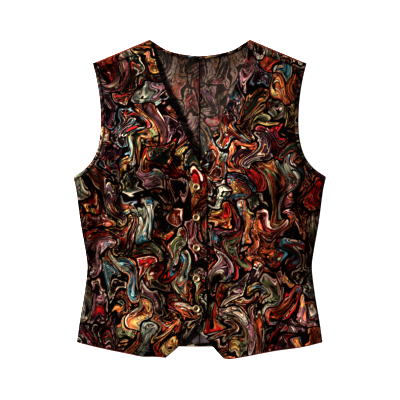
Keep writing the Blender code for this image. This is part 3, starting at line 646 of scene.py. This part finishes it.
def swirling_print() -> bpy.types.NodeTree:
    """Node group of the print: outlined patches of bands, rings and scrolls.

    Warped cells make the patches. A patch is plain with ruled light lines, or banded along a
    flowing noise, or ringed along its own outline. Smaller cells over it hold scrolls: bands whose
    value is the distance from the cell's centre plus the share of a turn round it. Black outlines,
    hatching and strokes and a few bright touches lie over all. The last input carries painted light
    and painted shade: where it is low, the print is darker and redder, as painted shade.
    """
    n = Group("swirling_print", {"Place": ("Vector", None), "Tone": ("Float", 1.0)},
              {"Colour": "Color", "Relief": "Float", "Gloss": "Float"})
    black, bands, middle_grey = DYES["black"], modelled_bands(), (0.5, 0.5, 0.5)
    flat, painted_light_here = n.given("Place"), n.given("Tone")
    place = flat * 21.5
    place = place + (n.noise(place, 1.5, 0.0)["Color"] - middle_grey)
    place = place + (n.noise(place, 5.0, 1.0)["Color"] - middle_grey) * 0.04

    # Patches.
    family, kind, cell = n.parts(n.cells(place, 1.22)["Color"])
    edge = n.cells(place, 1.22, "DISTANCE_TO_EDGE")["Distance"]
    along_flow = n.noise(place, 0.85, 1.0, 0.9)[0] * 11.0 + cell * 9.0
    ringed = (kind > 0.30) * (kind < 0.78)
    value = along_flow * (1.0 - ringed) + (edge * 4.4 + 0.55) * ringed
    drawn = n.add("Group", {"Value": value, "Cell": cell, "Family": family}, node_tree=bands)
    ground = n.ramp(family, dyed("soot 0 rust .04 orange .12 gold .19 maroon .25 red .31 olive .37 "
                                 "teal .45 sage .54 soot .67 rust .71 pine .75 mauve .82 plum .91"),
                    steps=True)
    plain = kind > 0.50
    colour = n.mix(plain, drawn["Colour"], n.mix(drawn["Lined"], ground, drawn["Line"]))
    shade = n.most(drawn["Shade"], plain * 0.48)

    # Scrolls, in about half of the smaller cells.
    centre = n.cells(place, 2.3)
    little_family, chance, little_cell = n.parts(centre["Color"])
    arm_x, arm_y, _ = n.parts(place - centre["Position"], "XYZ")
    turn = n.math("DIVIDE", n.math("ARCTAN2", arm_y, arm_x), math.tau)
    scroll = n.add("Group", {"Value": centre["Distance"] * 3.4 + turn, "Cell": little_cell,
                             "Family": n.math("FRACT", family + little_family)}, node_tree=bands)
    little_edge = n.cells(place, 2.3, "DISTANCE_TO_EDGE")["Distance"]
    here = (chance > 0.52) * (little_edge > 0.05)
    own = n.mix(little_family > 0.62, n.mix(scroll["Lined"], ground, scroll["Line"]),
                scroll["Colour"])
    colour = n.mix(here, colour, own)
    shade = shade * (1.0 - here) + scroll["Shade"] * here

    # Light rims and black lines.
    worn_edge = edge - n.noise(place, 2.0)[0] * 0.08
    rim = n.ramp(cell, dyed("cream 0 gold .16 red .27 blush .48 orange .62 cream .80 slate .90"),
                 steps=True)
    light_line = n.band(worn_edge, 0.030, 0.060, 0.006) * (kind > 0.30)
    colour = n.mix(light_line, colour, rim)
    shade = n.most(shade, light_line * 0.9)
    rim_line = n.band(little_edge, 0.026, 0.055, 0.010) * (chance > 0.52)
    inked = n.mix(here, drawn["Ink"] * plain, scroll["Ink"])
    grain = n.noise(place, 1.0, 1.0, 1.3)[0] * 11.0 + cell * 5.0
    hatched = n.band(n.math("FRACT", grain), 0.12, 0.34, 0.05) * (little_family > 0.72)
    stroke = n.noise(place, 2.6, 1.0, 1.8)[0]
    black_line = n.most(n.step(worn_edge, 0.022, 0.008), rim_line, inked, hatched,
                        n.step(stroke, 0.630, 0.645))
    colour = n.mix(n.step(stroke, 0.380, 0.365) * 0.7, colour, rim)

    # Light and dark within the patches, random dark patches over the whole garment, then the
    # painted light and painted shade.
    model = n.noise(place, 4.5, 2.0, 1.0)[0] * 0.55 + n.noise(place, 1.6, 1.0, 0.8)[0] * 0.45
    lit = n.ramp(model, ((0.37, (0.17, 0.14, 0.14)), (0.45, (0.70, 0.65, 0.63)),
                         (0.53, (1.55, 1.45, 1.40)), (0.59, (3.7, 3.6, 3.6))))
    colour = n.times(n.mix(1.0, n.times(colour, lit), (0.84, 0.68, 0.52), "DARKEN"), shade)
    colour = n.mix(black_line, colour, black)
    deep = n.ramp(n.noise(flat, 9.0, 1.0)[0], ((0.34, (0.46, 0.43, 0.45)), (0.54, 1.0)))
    # Painted shade is tinted redder; then the painted light and painted shade scale the colour.
    redder_painted_shade = n.mix(n.step(painted_light_here, 0.75, 0.40), WHITE, (1.20, 0.70, 0.68))
    colour = n.mix(0.5, n.times(n.times(colour, deep), redder_painted_shade) * painted_light_here, black, "ADD")
    grey = n.add("RGBToBW", {0: colour})[0]
    return n.give(Colour=colour, Relief=shade * 0.5 + model * 1.2 - black_line * 0.3,
                  Gloss=n.math("POWER", n.step(grey, 0.0, 0.30), 0.5))


def fine_weave() -> bpy.types.NodeTree:
    """Node group of the weave: two sets of threads that cross, as a height from 0 to 1."""
    n = Group("fine_weave", {"Place": ("Vector", None), "Threads": ("Float", 1500.0)},
              {"Height": "Float"})
    across, along, _ = n.parts(n.given("Place") * n.given("Threads"), "XYZ")
    warp, weft = n.math("SINE", across * math.tau), n.math("SINE", along * math.tau)
    return n.give(Height=warp * 0.25 + weft * 0.25 + 0.5)


def new_material(name: str) -> tuple[Nodes, bpy.types.Node]:
    """Start a material: its Nodes and its shader."""
    made = bpy.data.materials.new(name)
    made.use_nodes = True
    return Nodes(made.node_tree), made.node_tree.nodes["Principled BSDF"]


def dulled(n: Nodes, colour: Out, flat: Out) -> Out:
    """The print as it shows through on the wrong side: paler, mottled and plain at the hem."""
    colour = n.add("HueSaturation", {"Hue": 0.495, "Saturation": 0.92, "Value": 1.80,
                                     "Color": colour})["Color"]
    colour = n.mix(1.0, colour, (0.30, 0.205, 0.170), "DARKEN")
    colour = n.mix(0.26, colour, (0.122, 0.094, 0.078))
    mottle = n.noise(flat, 230.0, 3.0, 1.4)
    colour = n.mix(0.30, colour, mottle["Color"], "OVERLAY")
    colour = n.times(colour, n.ramp(mottle[0], ((0.40, (0.72, 0.70, 0.70)), (0.56, 1.15))))
    at_hem = n.step(n.parts(flat, "XYZ")[1], -0.21, -0.24)
    return n.mix(at_hem, colour, (0.105, 0.078, 0.082))


def printed_cloth(name: str, print_group: bpy.types.NodeTree, weave_group: bpy.types.NodeTree,
                  wrong_side: bool) -> None:
    """Material of the cloth's right side, or of its duller wrong side."""
    n, shader = new_material(name)
    flat, seam = n.attribute(FLAT_PLACE, "Vector"), n.attribute(SEAM_SHADE, "Fac")
    inputs = {"Place": n.attribute(PRINT_PLACE, "Vector")}
    if not wrong_side:
        inputs["Tone"] = n.attribute(PAINTED_LIGHT, "Fac")
    pattern = n.add("Group", inputs, node_tree=print_group)
    weave = n.add("Group", {"Place": flat}, node_tree=weave_group)["Height"]
    below = {}
    colour, relief_depth, strength, roughness, coat = pattern["Colour"], 0.0014, 0.8, 0.36, 0.7
    if wrong_side:
        colour = dulled(n, colour, flat)
        relief_depth, strength, roughness, coat = 0.0003, 0.35, 0.55, 0.1
        below["Normal"] = n.bump(n.noise(flat, 38.0, 3.0, 0.6)[0], 0.004)
    colour = n.times(colour, n.ramp(weave, ((0.2, 0.82), (0.8, 1.1))))
    # Painted shade at seams and edges, from the seam-shade attribute.
    colour = n.times(colour, n.ramp(seam, ((0.0, (0.03, 0.02, 0.02)), (1.0, 1.0))))
    turned_edge = (0.165, 0.038, 0.022)
    normal = n.bump(pattern["Relief"], relief_depth, Strength=strength,
                    Normal=n.bump(weave, 0.00006, **below))
    for label, value in (("Base Color", n.mix(n.step(seam, 1.1, 1.6), colour, turned_edge)),
                         ("Roughness", roughness), ("Specular IOR Level", 0.0),
                         ("Coat Weight", pattern["Gloss"] * coat), ("Coat Roughness", 0.34),
                         ("Normal", normal)):
        n.feed(shader.inputs[label], value)


def plain_finish(name: str, dark: Colour, light: Colour, roughness: float, metallic: float = 0.0,
                 grain: float = 900.0, depth: float = 0.0, glow: float = 0.0) -> None:
    """Material of thread, metal or the floor: one colour broken up by noise."""
    n, shader = new_material(name)
    where = n.add("TexCoord", {})["Object"]
    mottle = n.noise(where, grain, 3.0)[0]
    inputs = {"Base Color": n.ramp(mottle, ((0.35, dark), (0.65, light))), "Metallic": metallic,
              "Roughness": mottle * 0.2 + (roughness - 0.1), "Emission Color": light,
              "Emission Strength": glow}
    if depth:
        inputs["Normal"] = n.bump(mottle, depth)
    for label, value in inputs.items():
        n.feed(shader.inputs[label], value)


def make_finishes() -> None:
    """Make every material, to be found later by its name."""
    print_group, weave_group = swirling_print(), fine_weave()
    printed_cloth(RIGHT_SIDE, print_group, weave_group, wrong_side=False)
    printed_cloth(WRONG_SIDE, print_group, weave_group, wrong_side=True)
    plain_finish(THREAD, (0.010, 0.007, 0.006), (0.030, 0.020, 0.016), 0.75)
    plain_finish(GILT, (0.26, 0.155, 0.070), (0.60, 0.41, 0.20), 0.50, 0.55, grain=420.0,
                 depth=0.00010)
    plain_finish(BUTTON_CENTRE, (0.006, 0.004, 0.004), (0.030, 0.018, 0.014), 0.38, grain=1200.0)
    plain_finish(FLOOR, (0.86, 0.86, 0.86), (0.88, 0.88, 0.88), 0.9, grain=3.0, glow=0.9)


def add_object(mesh: bpy.types.Mesh, finishes: Sequence[str],
               node: str | None = None) -> bpy.types.Object:
    """Put a mesh in the scene, smooth, with its materials, in place of a node if one is named."""
    for name in finishes:
        mesh.materials.append(bpy.data.materials[name])
    mesh.shade_smooth()
    made = bpy.data.objects.new(mesh.name, mesh)
    bpy.context.scene.collection.objects.link(made)
    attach(made, ROOT)
    if node:
        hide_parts(node)
    LOG.info("%s: %d faces", made.name, len(mesh.polygons))
    return made


def new_mesh(name: str, points: Places, faces: list) -> bpy.types.Mesh:
    """A mesh of points and faces."""
    mesh = bpy.data.meshes.new(name)
    mesh.from_pydata(points.tolist(), [], faces)
    return mesh


def grid_quads(index: Places) -> Places:
    """Corner numbers of the quads of a grid, from the number of each point."""
    corners = [index[:-1, :-1], index[:-1, 1:], index[1:, 1:], index[1:, :-1]]
    return np.stack(corners, axis=-1).reshape(-1, 4)


def ring_quads(rows: int, sides: int) -> Places:
    """Corner numbers of the quads round a row of rings."""
    index = np.arange(rows * sides).reshape(rows, sides)
    after = np.roll(index, -1, axis=1)
    return np.stack([index[:-1], after[:-1], after[1:], index[1:]], axis=-1).reshape(-1, 4)


def cloth_piece(node: str, grids: Sequence[Places], flats: Sequence[Places],
                shades: Sequence[Places], swirl: tuple, thickness: float = CLOTH,
                flip: bool = False) -> bpy.types.Object:
    """Make the cloth that takes the place of a node.

    Args:
        node: the node's name.
        grids: places in space, each rows by columns by 3; shared edges are merged.
        flats: the flat place of each point, rows by columns by 2.
        shades: painted shade at seams and edges, from 0 for darkest to 1, or PIPED on a turned
            edge.
        swirl: seed of the print's flow, and the turn of the print.
        thickness: of the wall.
        flip: whether the quads have to be turned to face up.

    Returns:
        The object, with its wall and rounded edges as modifiers.
    """
    quads, start = [], 0
    for grid in grids:
        count = grid.shape[0] * grid.shape[1]
        quads.append(grid_quads(np.arange(start, start + count).reshape(grid.shape[:2])))
        start += count
    quads = np.vstack(quads)
    points = np.vstack([grid.reshape(-1, 3) for grid in grids])
    flat = np.vstack([places.reshape(-1, 2) for places in flats])
    shade = [np.broadcast_to(values, grid.shape[:2]).ravel() for values, grid in zip(shades, grids)]
    mesh = new_mesh(f"{node}_cloth", points, (quads[:, ::-1] if flip else quads).tolist())
    for label, kind, key, values in (
            (FLAT_PLACE, "FLOAT_VECTOR", "vector", np.column_stack([flat, np.zeros(len(flat))])),
            (PRINT_PLACE, "FLOAT_VECTOR", "vector", swirled(flat, *swirl)),
            (SEAM_SHADE, "FLOAT", "value", np.concatenate(shade)),
            (PAINTED_LIGHT, "FLOAT", "value", tone(points[:, :2]))):
        layer = mesh.attributes.new(label, kind, "POINT")
        layer.data.foreach_set(key, values.astype(np.float32).ravel())
    if len(grids) > 1:
        edit = bmesh.new()
        edit.from_mesh(mesh)
        bmesh.ops.remove_doubles(edit, verts=edit.verts, dist=0.00001)
        edit.to_mesh(mesh)
        edit.free()
    made = add_object(mesh, (RIGHT_SIDE, WRONG_SIDE), node)
    wall = made.modifiers.new("wall", "SOLIDIFY")
    wall.thickness, wall.offset, wall.material_offset = thickness, 0.0, 1
    soft = made.modifiers.new("soft_edges", "BEVEL")
    soft.width, soft.segments = 0.3 * thickness, 2
    soft.limit_method, soft.angle_limit = "ANGLE", math.radians(60.0)
    return made


def declare(flats: Sequence[Places],
            sewn: Sequence[bpy.types.Object] = ()) -> None:
    """Work out the summed area of a piece's flat grids; nothing is done with it."""
    sum(grid_area(flat) for flat in flats)


def front_plan(side: str) -> Places:
    """Places of a front seen from above, with close rows and columns at its edges."""
    columns, cutaway_rows, closure_rows, neck_rows, below_cutaway = 104, 34, 100, 92, 0.155
    fine = smooth_line(NECK_EDGE[side], even(FINE))
    start = at_drop(fine, SEAM_DROP_NECK + SEAM_GAP)
    end = seam_ends()[1] - OUTWARD * SEAM_GAP
    u = close_at_ends(columns)
    seam = start + (end - start) * u[:, None]
    nearest = fine[np.argmin(np.linalg.norm(fine - start, axis=1))]
    neck = np.vstack([fine[fine[:, 1] < min(nearest[1], start[1])], start])
    closure = np.array([CUTAWAY[side][-1], NECK_EDGE[side][0]])
    low, high, middle = close_at_ends(cutaway_rows), close_at_ends(neck_rows), even(closure_rows)
    inner = np.vstack([smooth_line(CUTAWAY[side], low), along_line(closure, middle)[1:],
                       along_line(neck, high)[1:]])
    inset = inset_armhole(ARMHOLE_BAND + SEAM_GAP, 60)[0]
    armhole = along_line(inset, even(FINE))
    armhole = np.vstack([armhole[below_shoulder(armhole) > SEAM_DROP_ARMHOLE + SEAM_GAP], end])
    share = np.concatenate([low * below_cutaway, below_cutaway + middle[1:] * (1 - below_cutaway)])
    side_line = smooth_line(np.vstack([SIDE_SEAM[:-1], inset[0]]), share)
    outer = np.vstack([side_line, along_line(armhole, high)[1:]])
    plan = patch(inner, outer, smooth_line(HEM[side], u), seam, u, travelled(inner, outer))
    return plan * (SIGN[side], 1.0)


def front_seams(plan: Places) -> tuple[Places, Places]:
    """How far a front dips near its sewn and turned edges, and the painted shade there."""
    to_armhole, to_edge, to_shoulder, to_hem = (
        np.linalg.norm(plan - line, axis=-1)
        for line in (plan[:, -1:], plan[:, :1], plan[-1:], plan[:1]))
    sewn = np.minimum(np.where(plan[..., 1] > ARMHOLE[0, 1] + 0.003, to_armhole, 1.0), to_shoulder)
    dip = SEAM_DIP * (1.0 - smooth_step(sewn, 0.0, SEAM_DIP_WIDTH))
    dip = dip + EDGE_DIP * (1.0 - smooth_step(np.minimum(to_edge, to_hem), 0.0, 0.0012))
    stitched = bell(to_edge - STITCH_LINE, 0.0009)
    cutaway = np.where(plan[..., 1] > CLOSURE_FOOT, 1.0, to_edge)
    edge = np.minimum(cutaway, np.minimum(to_hem, to_armhole))
    # Painted shade in seam grooves, at turned edges, along the stitch line and near the side.
    shade = smooth_step(sewn, 0.0, 0.0028) * (0.25 + 0.75 * smooth_step(edge, 0.0010, 0.0024))
    shade = shade * (0.6 + 0.4 * smooth_step(to_armhole, 0.0, 0.0160)) * (1.0 - 0.5 * stitched)
    outline = np.minimum(to_hem, np.where(sewn > 0.5, to_armhole, 1.0))
    return dip + STITCH_DIP * stitched, np.where(outline < 0.0013, PIPED, shade)


def front(side: str, swirl: tuple) -> None:
    """One front, from the shoulder seam to the hem, with its stitches."""
    plan = front_plan(side)
    dip, shade = front_seams(plan)
    grid = with_height(plan, front_height(side, plan) - dip)
    made = cloth_piece(f"front_{side}", [grid], [plan], [shade], swirl, flip=side == "right")
    declare([plan], [stitches(side)])


def shoulder_wrap(edge: Places) -> tuple[Places, Places, Places]:
    """The part of a back that folds over the shoulder: half a turn, then down to the seam.

    Args:
        edge: the fold's foot on the back, from neck to armhole.

    Returns:
        Places in space, their flat places as if unfolded past the shoulder, and their painted shade
        at the seam.
    """
    share = np.linalg.norm(edge - edge[0], axis=1)
    start, end = seam_ends()
    seam = start + (end - start) * (share / share[-1])[:, None]
    turn = np.linspace(0.0, math.pi, FOLD_STEPS + 1)[:, None, None]
    rise = 0.5 * CLOTH + SHOULDER_FOLD * (1.0 - np.cos(turn[..., 0]))
    over = with_height(edge[None] + OUTWARD * SHOULDER_FOLD * np.sin(turn), rise)
    down = np.sort(np.concatenate([even(8), [0.93, 0.965]]))[1:, None, None]
    plan = edge[None] + (seam - edge)[None] * down
    to_seam = np.linalg.norm(plan - plan[-1:], axis=-1)
    dip = SEAM_DIP * (1.0 - smooth_step(to_seam, 0.0, SEAM_DIP_WIDTH))
    unfolded = np.vstack([
        edge[None] + OUTWARD * SHOULDER_FOLD * turn,
        edge[None] + OUTWARD * (SHOULDER_FOLD * math.pi) - (seam - edge)[None] * down])
    rolled = np.where(np.broadcast_to(turn[..., 0] > 1.0, over.shape[:2]), PIPED, 1.0)
    return (np.vstack([over, with_height(plan, upper_cloth(plan) - dip)]), unfolded,
            np.vstack([rolled, smooth_step(to_seam, 0.0, 0.0028)]))


def back(side: str, swirl: tuple) -> None:
    """One back half: flat, with a shoulder that folds over to the seam on the front."""
    inset = inset_armhole(ARMHOLE_BAND + SEAM_GAP, 64)[0]
    side_line = smooth_line(np.vstack([SIDE_SEAM[:-1], inset[0]]), even(90))
    outer = np.vstack([side_line, inset[1:]])
    run = travelled(outer)
    low, high = BACK_HEM_LINE[0, 1], BACK_NECK[0, 1]
    inner = np.column_stack([np.zeros_like(run), low + (high - low) * run])
    neck = smooth_line(BACK_NECK, even(34))
    shoulder = neck[-1] + (inset[-1] - neck[-1]) * even(40)[1:, None]
    top = np.vstack([neck, shoulder])
    near = np.array([0.0005, 0.0009, 0.0014, 0.0022, 0.0040])
    extra = np.column_stack([near, np.interp(near, top[:, 0], top[:, 1])])
    top = np.vstack([[[0.0, top[0, 1]]], extra, top[1:]])
    u = travelled(top)
    hem = smooth_line(BACK_HEM_LINE, u)
    hem[0, 0] = 0.0
    plan = patch(inner, outer, hem, top, u, run)

    # Painted shade on the inside: dark in the centre seam and below the neck band.
    below = np.interp(plan[..., 0], neck[:, 0], neck[:, 1]) - plan[..., 1]
    shade = 0.06 + 0.54 * smooth_step(plan[..., 0], 0.0006, 0.0016)
    shade = shade + 0.40 * smooth_step(plan[..., 0], 0.0012, 0.0120)
    shade = shade * (0.12 + 0.33 * smooth_step(below, 0.0055, 0.0120)
                     + 0.55 * smooth_step(below, 0.0100, 0.0700))

    wrap, wrap_flat, wrap_shade = shoulder_wrap(top[len(neck) - 1 + len(near):])
    mirror = np.array([SIGN[side], 1.0, 1.0])
    made = cloth_piece(f"back_{side}", [with_height(plan, 0.5 * CLOTH) * mirror, wrap * mirror],
                       [plan * mirror[:2], wrap_flat * mirror[:2]], [shade, wrap_shade], swirl,
                       flip=side == "left")
    declare([plan, wrap_flat])


def unrolled(width: Places, length: Places) -> Places:
    """Flat places of a narrow strip: how far across it and along it each point lies."""
    return np.stack(np.broadcast_arrays(width, length[:, None]), axis=-1)


def armhole_band(side: str, swirl: tuple) -> None:
    """Band sewn to an armhole: up the back, over the shoulder fold and down the front."""
    across, crown = 10, 0.0007
    plan = between(*inset_armhole(ARMHOLE_BAND, 120), across)
    low, high = 0.5 * BAND_CLOTH, 0.5 * CLOTH + 2.0 * SHOULDER_FOLD
    turn = np.linspace(0.0, math.pi, FOLD_STEPS + 1)[1:-1, None, None]
    rise = low + 0.5 * (high - low) * (1.0 - np.cos(turn[..., 0]))
    fold = with_height(plan[-1][None] + OUTWARD * SHOULDER_FOLD * np.sin(turn), rise)
    before = plan[::-1]
    full = crown * (np.sin(math.pi * even(across)) ** 0.7)[None, :]
    full = full * smooth_step(below_shoulder(before), 0.001, 0.012)
    grid = np.vstack([with_height(plan, low), fold,
                      with_height(before, upper_cloth(before) + full)])
    flat = unrolled(even(across) * ARMHOLE_BAND, run_along(grid[:, -1]) - 0.22)
    t = even(across)
    # Painted shade in the seam and near the outer edge, and the band's print dimmed overall.
    shade = (0.04 + 0.60 * smooth_step(t, 0.06, 0.30)) * (1.0 - 0.6 * smooth_step(t, 0.70, 0.85))
    made = cloth_piece(f"armhole_band_{side}", [grid * (SIGN[side], 1, 1)], [flat],
                       [np.where(t > 0.88, PIPED, shade)], swirl, BAND_CLOTH, side == "left")
    declare([flat])


def inside_strip(node: str, inner: Places, outer: Places, swirl: tuple, flip: bool) -> None:
    """A narrow strip on the inside of the back, a little full in its middle."""
    across = 8
    t = even(across)
    plan = between(inner, outer, across)
    height = CLOTH + SEAM_GAP + 0.5 * TRIM_CLOTH + 0.00025 * np.sin(math.pi * t)[None, :]
    width = np.linalg.norm(outer - inner, axis=1)[:, None] * t
    flat = unrolled(width, run_along(outer) - 0.1)
    # Painted shade along the strip's inner edge, its print dimmed overall, and PIPED on its outer
    # edge.
    shade = np.where(t > 0.8, PIPED, 0.1 + 0.42 * smooth_step(t, 0.0, 0.3))
    made = cloth_piece(node, [with_height(plan, height)], [flat], [shade], swirl, TRIM_CLOTH, flip)
    declare([flat])


def neck_band(swirl: tuple) -> None:
    """Band inside the back neck, from shoulder to shoulder."""
    half = smooth_line(BACK_NECK[:-1], even(60))
    outer = np.vstack([(half * (-1.0, 1.0))[::-1], half[1:]])
    inside_strip("neck_band", outer + rightward(outer) * NECK_BAND, outer, swirl, flip=True)


def back_hem(side: str, swirl: tuple) -> None:
    """The turned-up edge of one back half's hem."""
    outer = smooth_line(BACK_HEM_LINE, even(70) * 0.965)
    outer[0, 0] = 0.5 * SEAM_GAP
    if side == "right":
        outer = (outer * (-1.0, 1.0))[::-1]
    inside_strip(f"back_hem_{side}", outer + (0.0, BACK_HEM), outer, swirl, flip=False)


def button_section(radius: float, height: float) -> tuple[Places, int]:
    """Half section of a button, from the middle of its top round to the foot of its shank.

    Returns:
        Distance from the middle and height of each point, and how many lie in the dark centre.
    """
    shank, shank_foot = 0.0011, -0.0015
    dome = even(10) * 0.44 * radius
    centre = np.column_stack([
        dome, 0.30 * height + 0.30 * height * np.cos(dome / (0.44 * radius) * 1.5)])
    slope = np.column_stack([radius * np.linspace(0.47, 0.70, 7),
                             height * (0.34 + 0.42 * even(6) ** 0.8)])
    angle = np.linspace(math.radians(150.0), math.radians(-95.0), 16)
    rim = np.column_stack([0.84 * radius + 0.16 * radius * np.cos(angle),
                           0.62 * height + 0.38 * height * np.sin(angle)])
    foot = np.array([[0.60 * radius, 0.02 * height], [shank, 0.0], [shank, shank_foot],
                     [0.0, shank_foot]])
    return np.vstack([centre, slope, rim, foot]), len(centre)


def buttons() -> None:
    """Five turned metal buttons: a gilt rim round a dark domed centre, on a shank."""
    radius, height, sides = 0.0063, 0.0026, 48
    section, centre_count = button_section(radius, height)
    angle = np.arange(sides) * math.tau / sides
    ring = np.stack([np.cos(angle), np.sin(angle)], axis=-1)
    body = section[1:-1]
    points = with_height(body[:, None, :1] * ring[None], body[:, 1:]).reshape(-1, 3)
    points = np.vstack([points, [[0, 0, section[0, 1]], [0, 0, section[-1, 1]]]])
    top, foot = len(points) - 2, len(points) - 1
    last = top - sides
    faces = ring_quads(len(body), sides)[:, [0, 3, 2, 1]].tolist()
    faces += [[top, a, (a + 1) % sides] for a in range(sides)]
    faces += [[foot, last + (a + 1) % sides, last + a] for a in range(sides)]
    dark = np.repeat(np.arange(len(body) - 1), sides) < centre_count - 1
    finish = np.concatenate([dark, np.ones(sides), np.zeros(sides)]).astype(np.int32)
    for number in range(1, 6):
        low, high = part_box(f"button_{number}")
        place = ((low[0] + high[0]) / 2, (low[1] + high[1]) / 2, high[2] - height)
        mesh = new_mesh(f"button_{number}_metal", points + place, faces)
        add_object(mesh, (GILT, BUTTON_CENTRE), f"button_{number}")
        mesh.polygons.foreach_set("material_index", finish)


def stitch_lines(side: str) -> list[Places]:
    """Plan lines of a front's stitch rows: hem, front edge, armhole and shoulder."""
    start, end = seam_ends()
    hem_line = smooth_line(HEM[side], even(120) * 0.93 + 0.035) + (0.0, 0.0100)
    front_edge = along_line(np.vstack([
        smooth_line(CUTAWAY[side], even(60) * 0.90 + 0.10), NECK_EDGE[side][:1],
        smooth_line(NECK_EDGE[side], even(FINE) * 0.93)[1:]]), even(400))
    front_edge = front_edge + rightward(front_edge) * STITCH_LINE
    inset = inset_armhole(ARMHOLE_BAND + 0.0016, 160)[0]
    armhole = inset[below_shoulder(inset) > SEAM_DROP_ARMHOLE + 0.001]
    shoulder = np.array([start, end]) - OUTWARD * 0.0018
    return [line * (SIGN[side], 1.0) for line in (hem_line, front_edge, armhole, shoulder)]


def stitch_rings(side: str, line: Places) -> Places:
    """Centres of the rings of each stitch along a plan line, stitches by 5 by 3.

    Each stitch is a low arch: its middle stands on the cloth and its ends dip in.
    """
    pitch, length = 0.0031, 0.0024
    run = np.linalg.norm(np.diff(line, axis=0), axis=1).sum()
    count = max(int(run / pitch), 1)
    middle = (np.arange(count) + 0.5) / count
    share = np.array([-0.5, -0.35, 0.0, 0.35, 0.5]) * length / run
    where = along_line(line, np.clip(middle[:, None] + share, 0.0, 1.0).ravel())
    arch = np.tile([-0.00012, 0.00005, 0.00012, 0.00005, -0.00012], count)
    top = front_height(side, where) + 0.5 * CLOTH + arch
    return np.column_stack([where, top]).reshape(count, 5, 3)


def stitches(side: str) -> bpy.types.Object:
    """All stitches of one front, as one mesh of thin closed arches."""
    sides, thickness = 5, 0.00022
    centres = np.vstack([stitch_rings(side, line) for line in stitch_lines(side)])
    run = np.gradient(centres, axis=1)
    run /= np.linalg.norm(run, axis=2, keepdims=True)
    sideways = np.cross(run, (0.0, 0.0, 1.0))
    sideways /= np.linalg.norm(sideways, axis=2, keepdims=True)
    upward = np.cross(sideways, run)
    angle = (np.arange(sides) * math.tau / sides)[:, None]
    swell = np.array([0.45, 0.9, 1.0, 0.9, 0.45])[None, :, None, None] * thickness
    ring = sideways[:, :, None] * np.cos(angle) + upward[:, :, None] * np.sin(angle)
    start = (np.arange(len(centres)) * 5 * sides)[:, None]
    faces = (ring_quads(5, sides)[None] + start[..., None]).reshape(-1, 4).tolist()
    faces += (np.arange(sides)[None, ::-1] + start).tolist()
    faces += (np.arange(4 * sides, 5 * sides)[None] + start).tolist()
    mesh = new_mesh(f"stitches_{side}", (centres[:, :, None] + ring * swell).reshape(-1, 3), faces)
    edit = bmesh.new()
    edit.from_mesh(mesh)
    bmesh.ops.recalc_face_normals(edit, faces=edit.faces)
    edit.to_mesh(mesh)
    edit.free()
    return add_object(mesh, (THREAD,))


def studio() -> None:
    """Camera, lights and floor, set as in the photograph: seen from straight above."""
    scene = bpy.context.scene
    view_width, lens, sensor = 0.70, 85.0, 36.0
    data = bpy.data.cameras.new("camera")
    data.lens, data.sensor_width = lens, sensor
    camera = bpy.data.objects.new("camera", data)
    camera.location = (0.0007, -0.0015, view_width * lens / sensor + 0.006)
    scene.collection.objects.link(camera)
    scene.camera = camera
    for name, place, size, power in (("key", (-3.15, 1.35, 1.90), 0.6, 392.0),
                                     ("low", (0.6, -3.2, 2.2), 2.4, 16.0),
                                     ("high", (1.2, 3.0, 2.4), 2.4, 12.0)):
        data = bpy.data.lights.new(name, "AREA")
        data.size, data.energy = size, power
        made = bpy.data.objects.new(name, data)
        made.location = place
        made.rotation_euler = (-Vector(place)).to_track_quat("-Z", "Y").to_euler()
        scene.collection.objects.link(made)
    world = bpy.data.worlds.new("studio")
    world.use_nodes = True
    world.node_tree.nodes["Background"].inputs["Color"].default_value = (*WHITE, 1.0)
    world.node_tree.nodes["Background"].inputs["Strength"].default_value = 0.03
    scene.world = world
    scene.view_settings.view_transform = "Standard"
    scene.view_settings.look = "High Contrast"
    half, low = 12.0, -0.0003
    corners = np.array([(-half, -half, low), (half, -half, low), (half, half, low),
                        (-half, half, low)])
    mesh = new_mesh("floor", corners, [(0, 1, 2, 3)])
    mesh.materials.append(bpy.data.materials[FLOOR])
    floor = bpy.data.objects.new("floor", mesh)
    scene.collection.objects.link(floor)


def main() -> None:
    """Build the pieces in order. Each has a seed for its print, and the bands a turn of it."""
    logging.basicConfig(level=logging.INFO, format="%(name)s: %(message)s")
    make_finishes()
    studio()
    for side, seed in (("right", 11), ("left", 23)):
        back(side, (seed + 3,))
        front(side, (seed,))
        armhole_band(side, (seed + 5, 0.8))
    neck_band((41, 0.6))
    back_hem("right", (18,))
    back_hem("left", (30,))
    buttons()


if __name__ == "__main__":
    main()
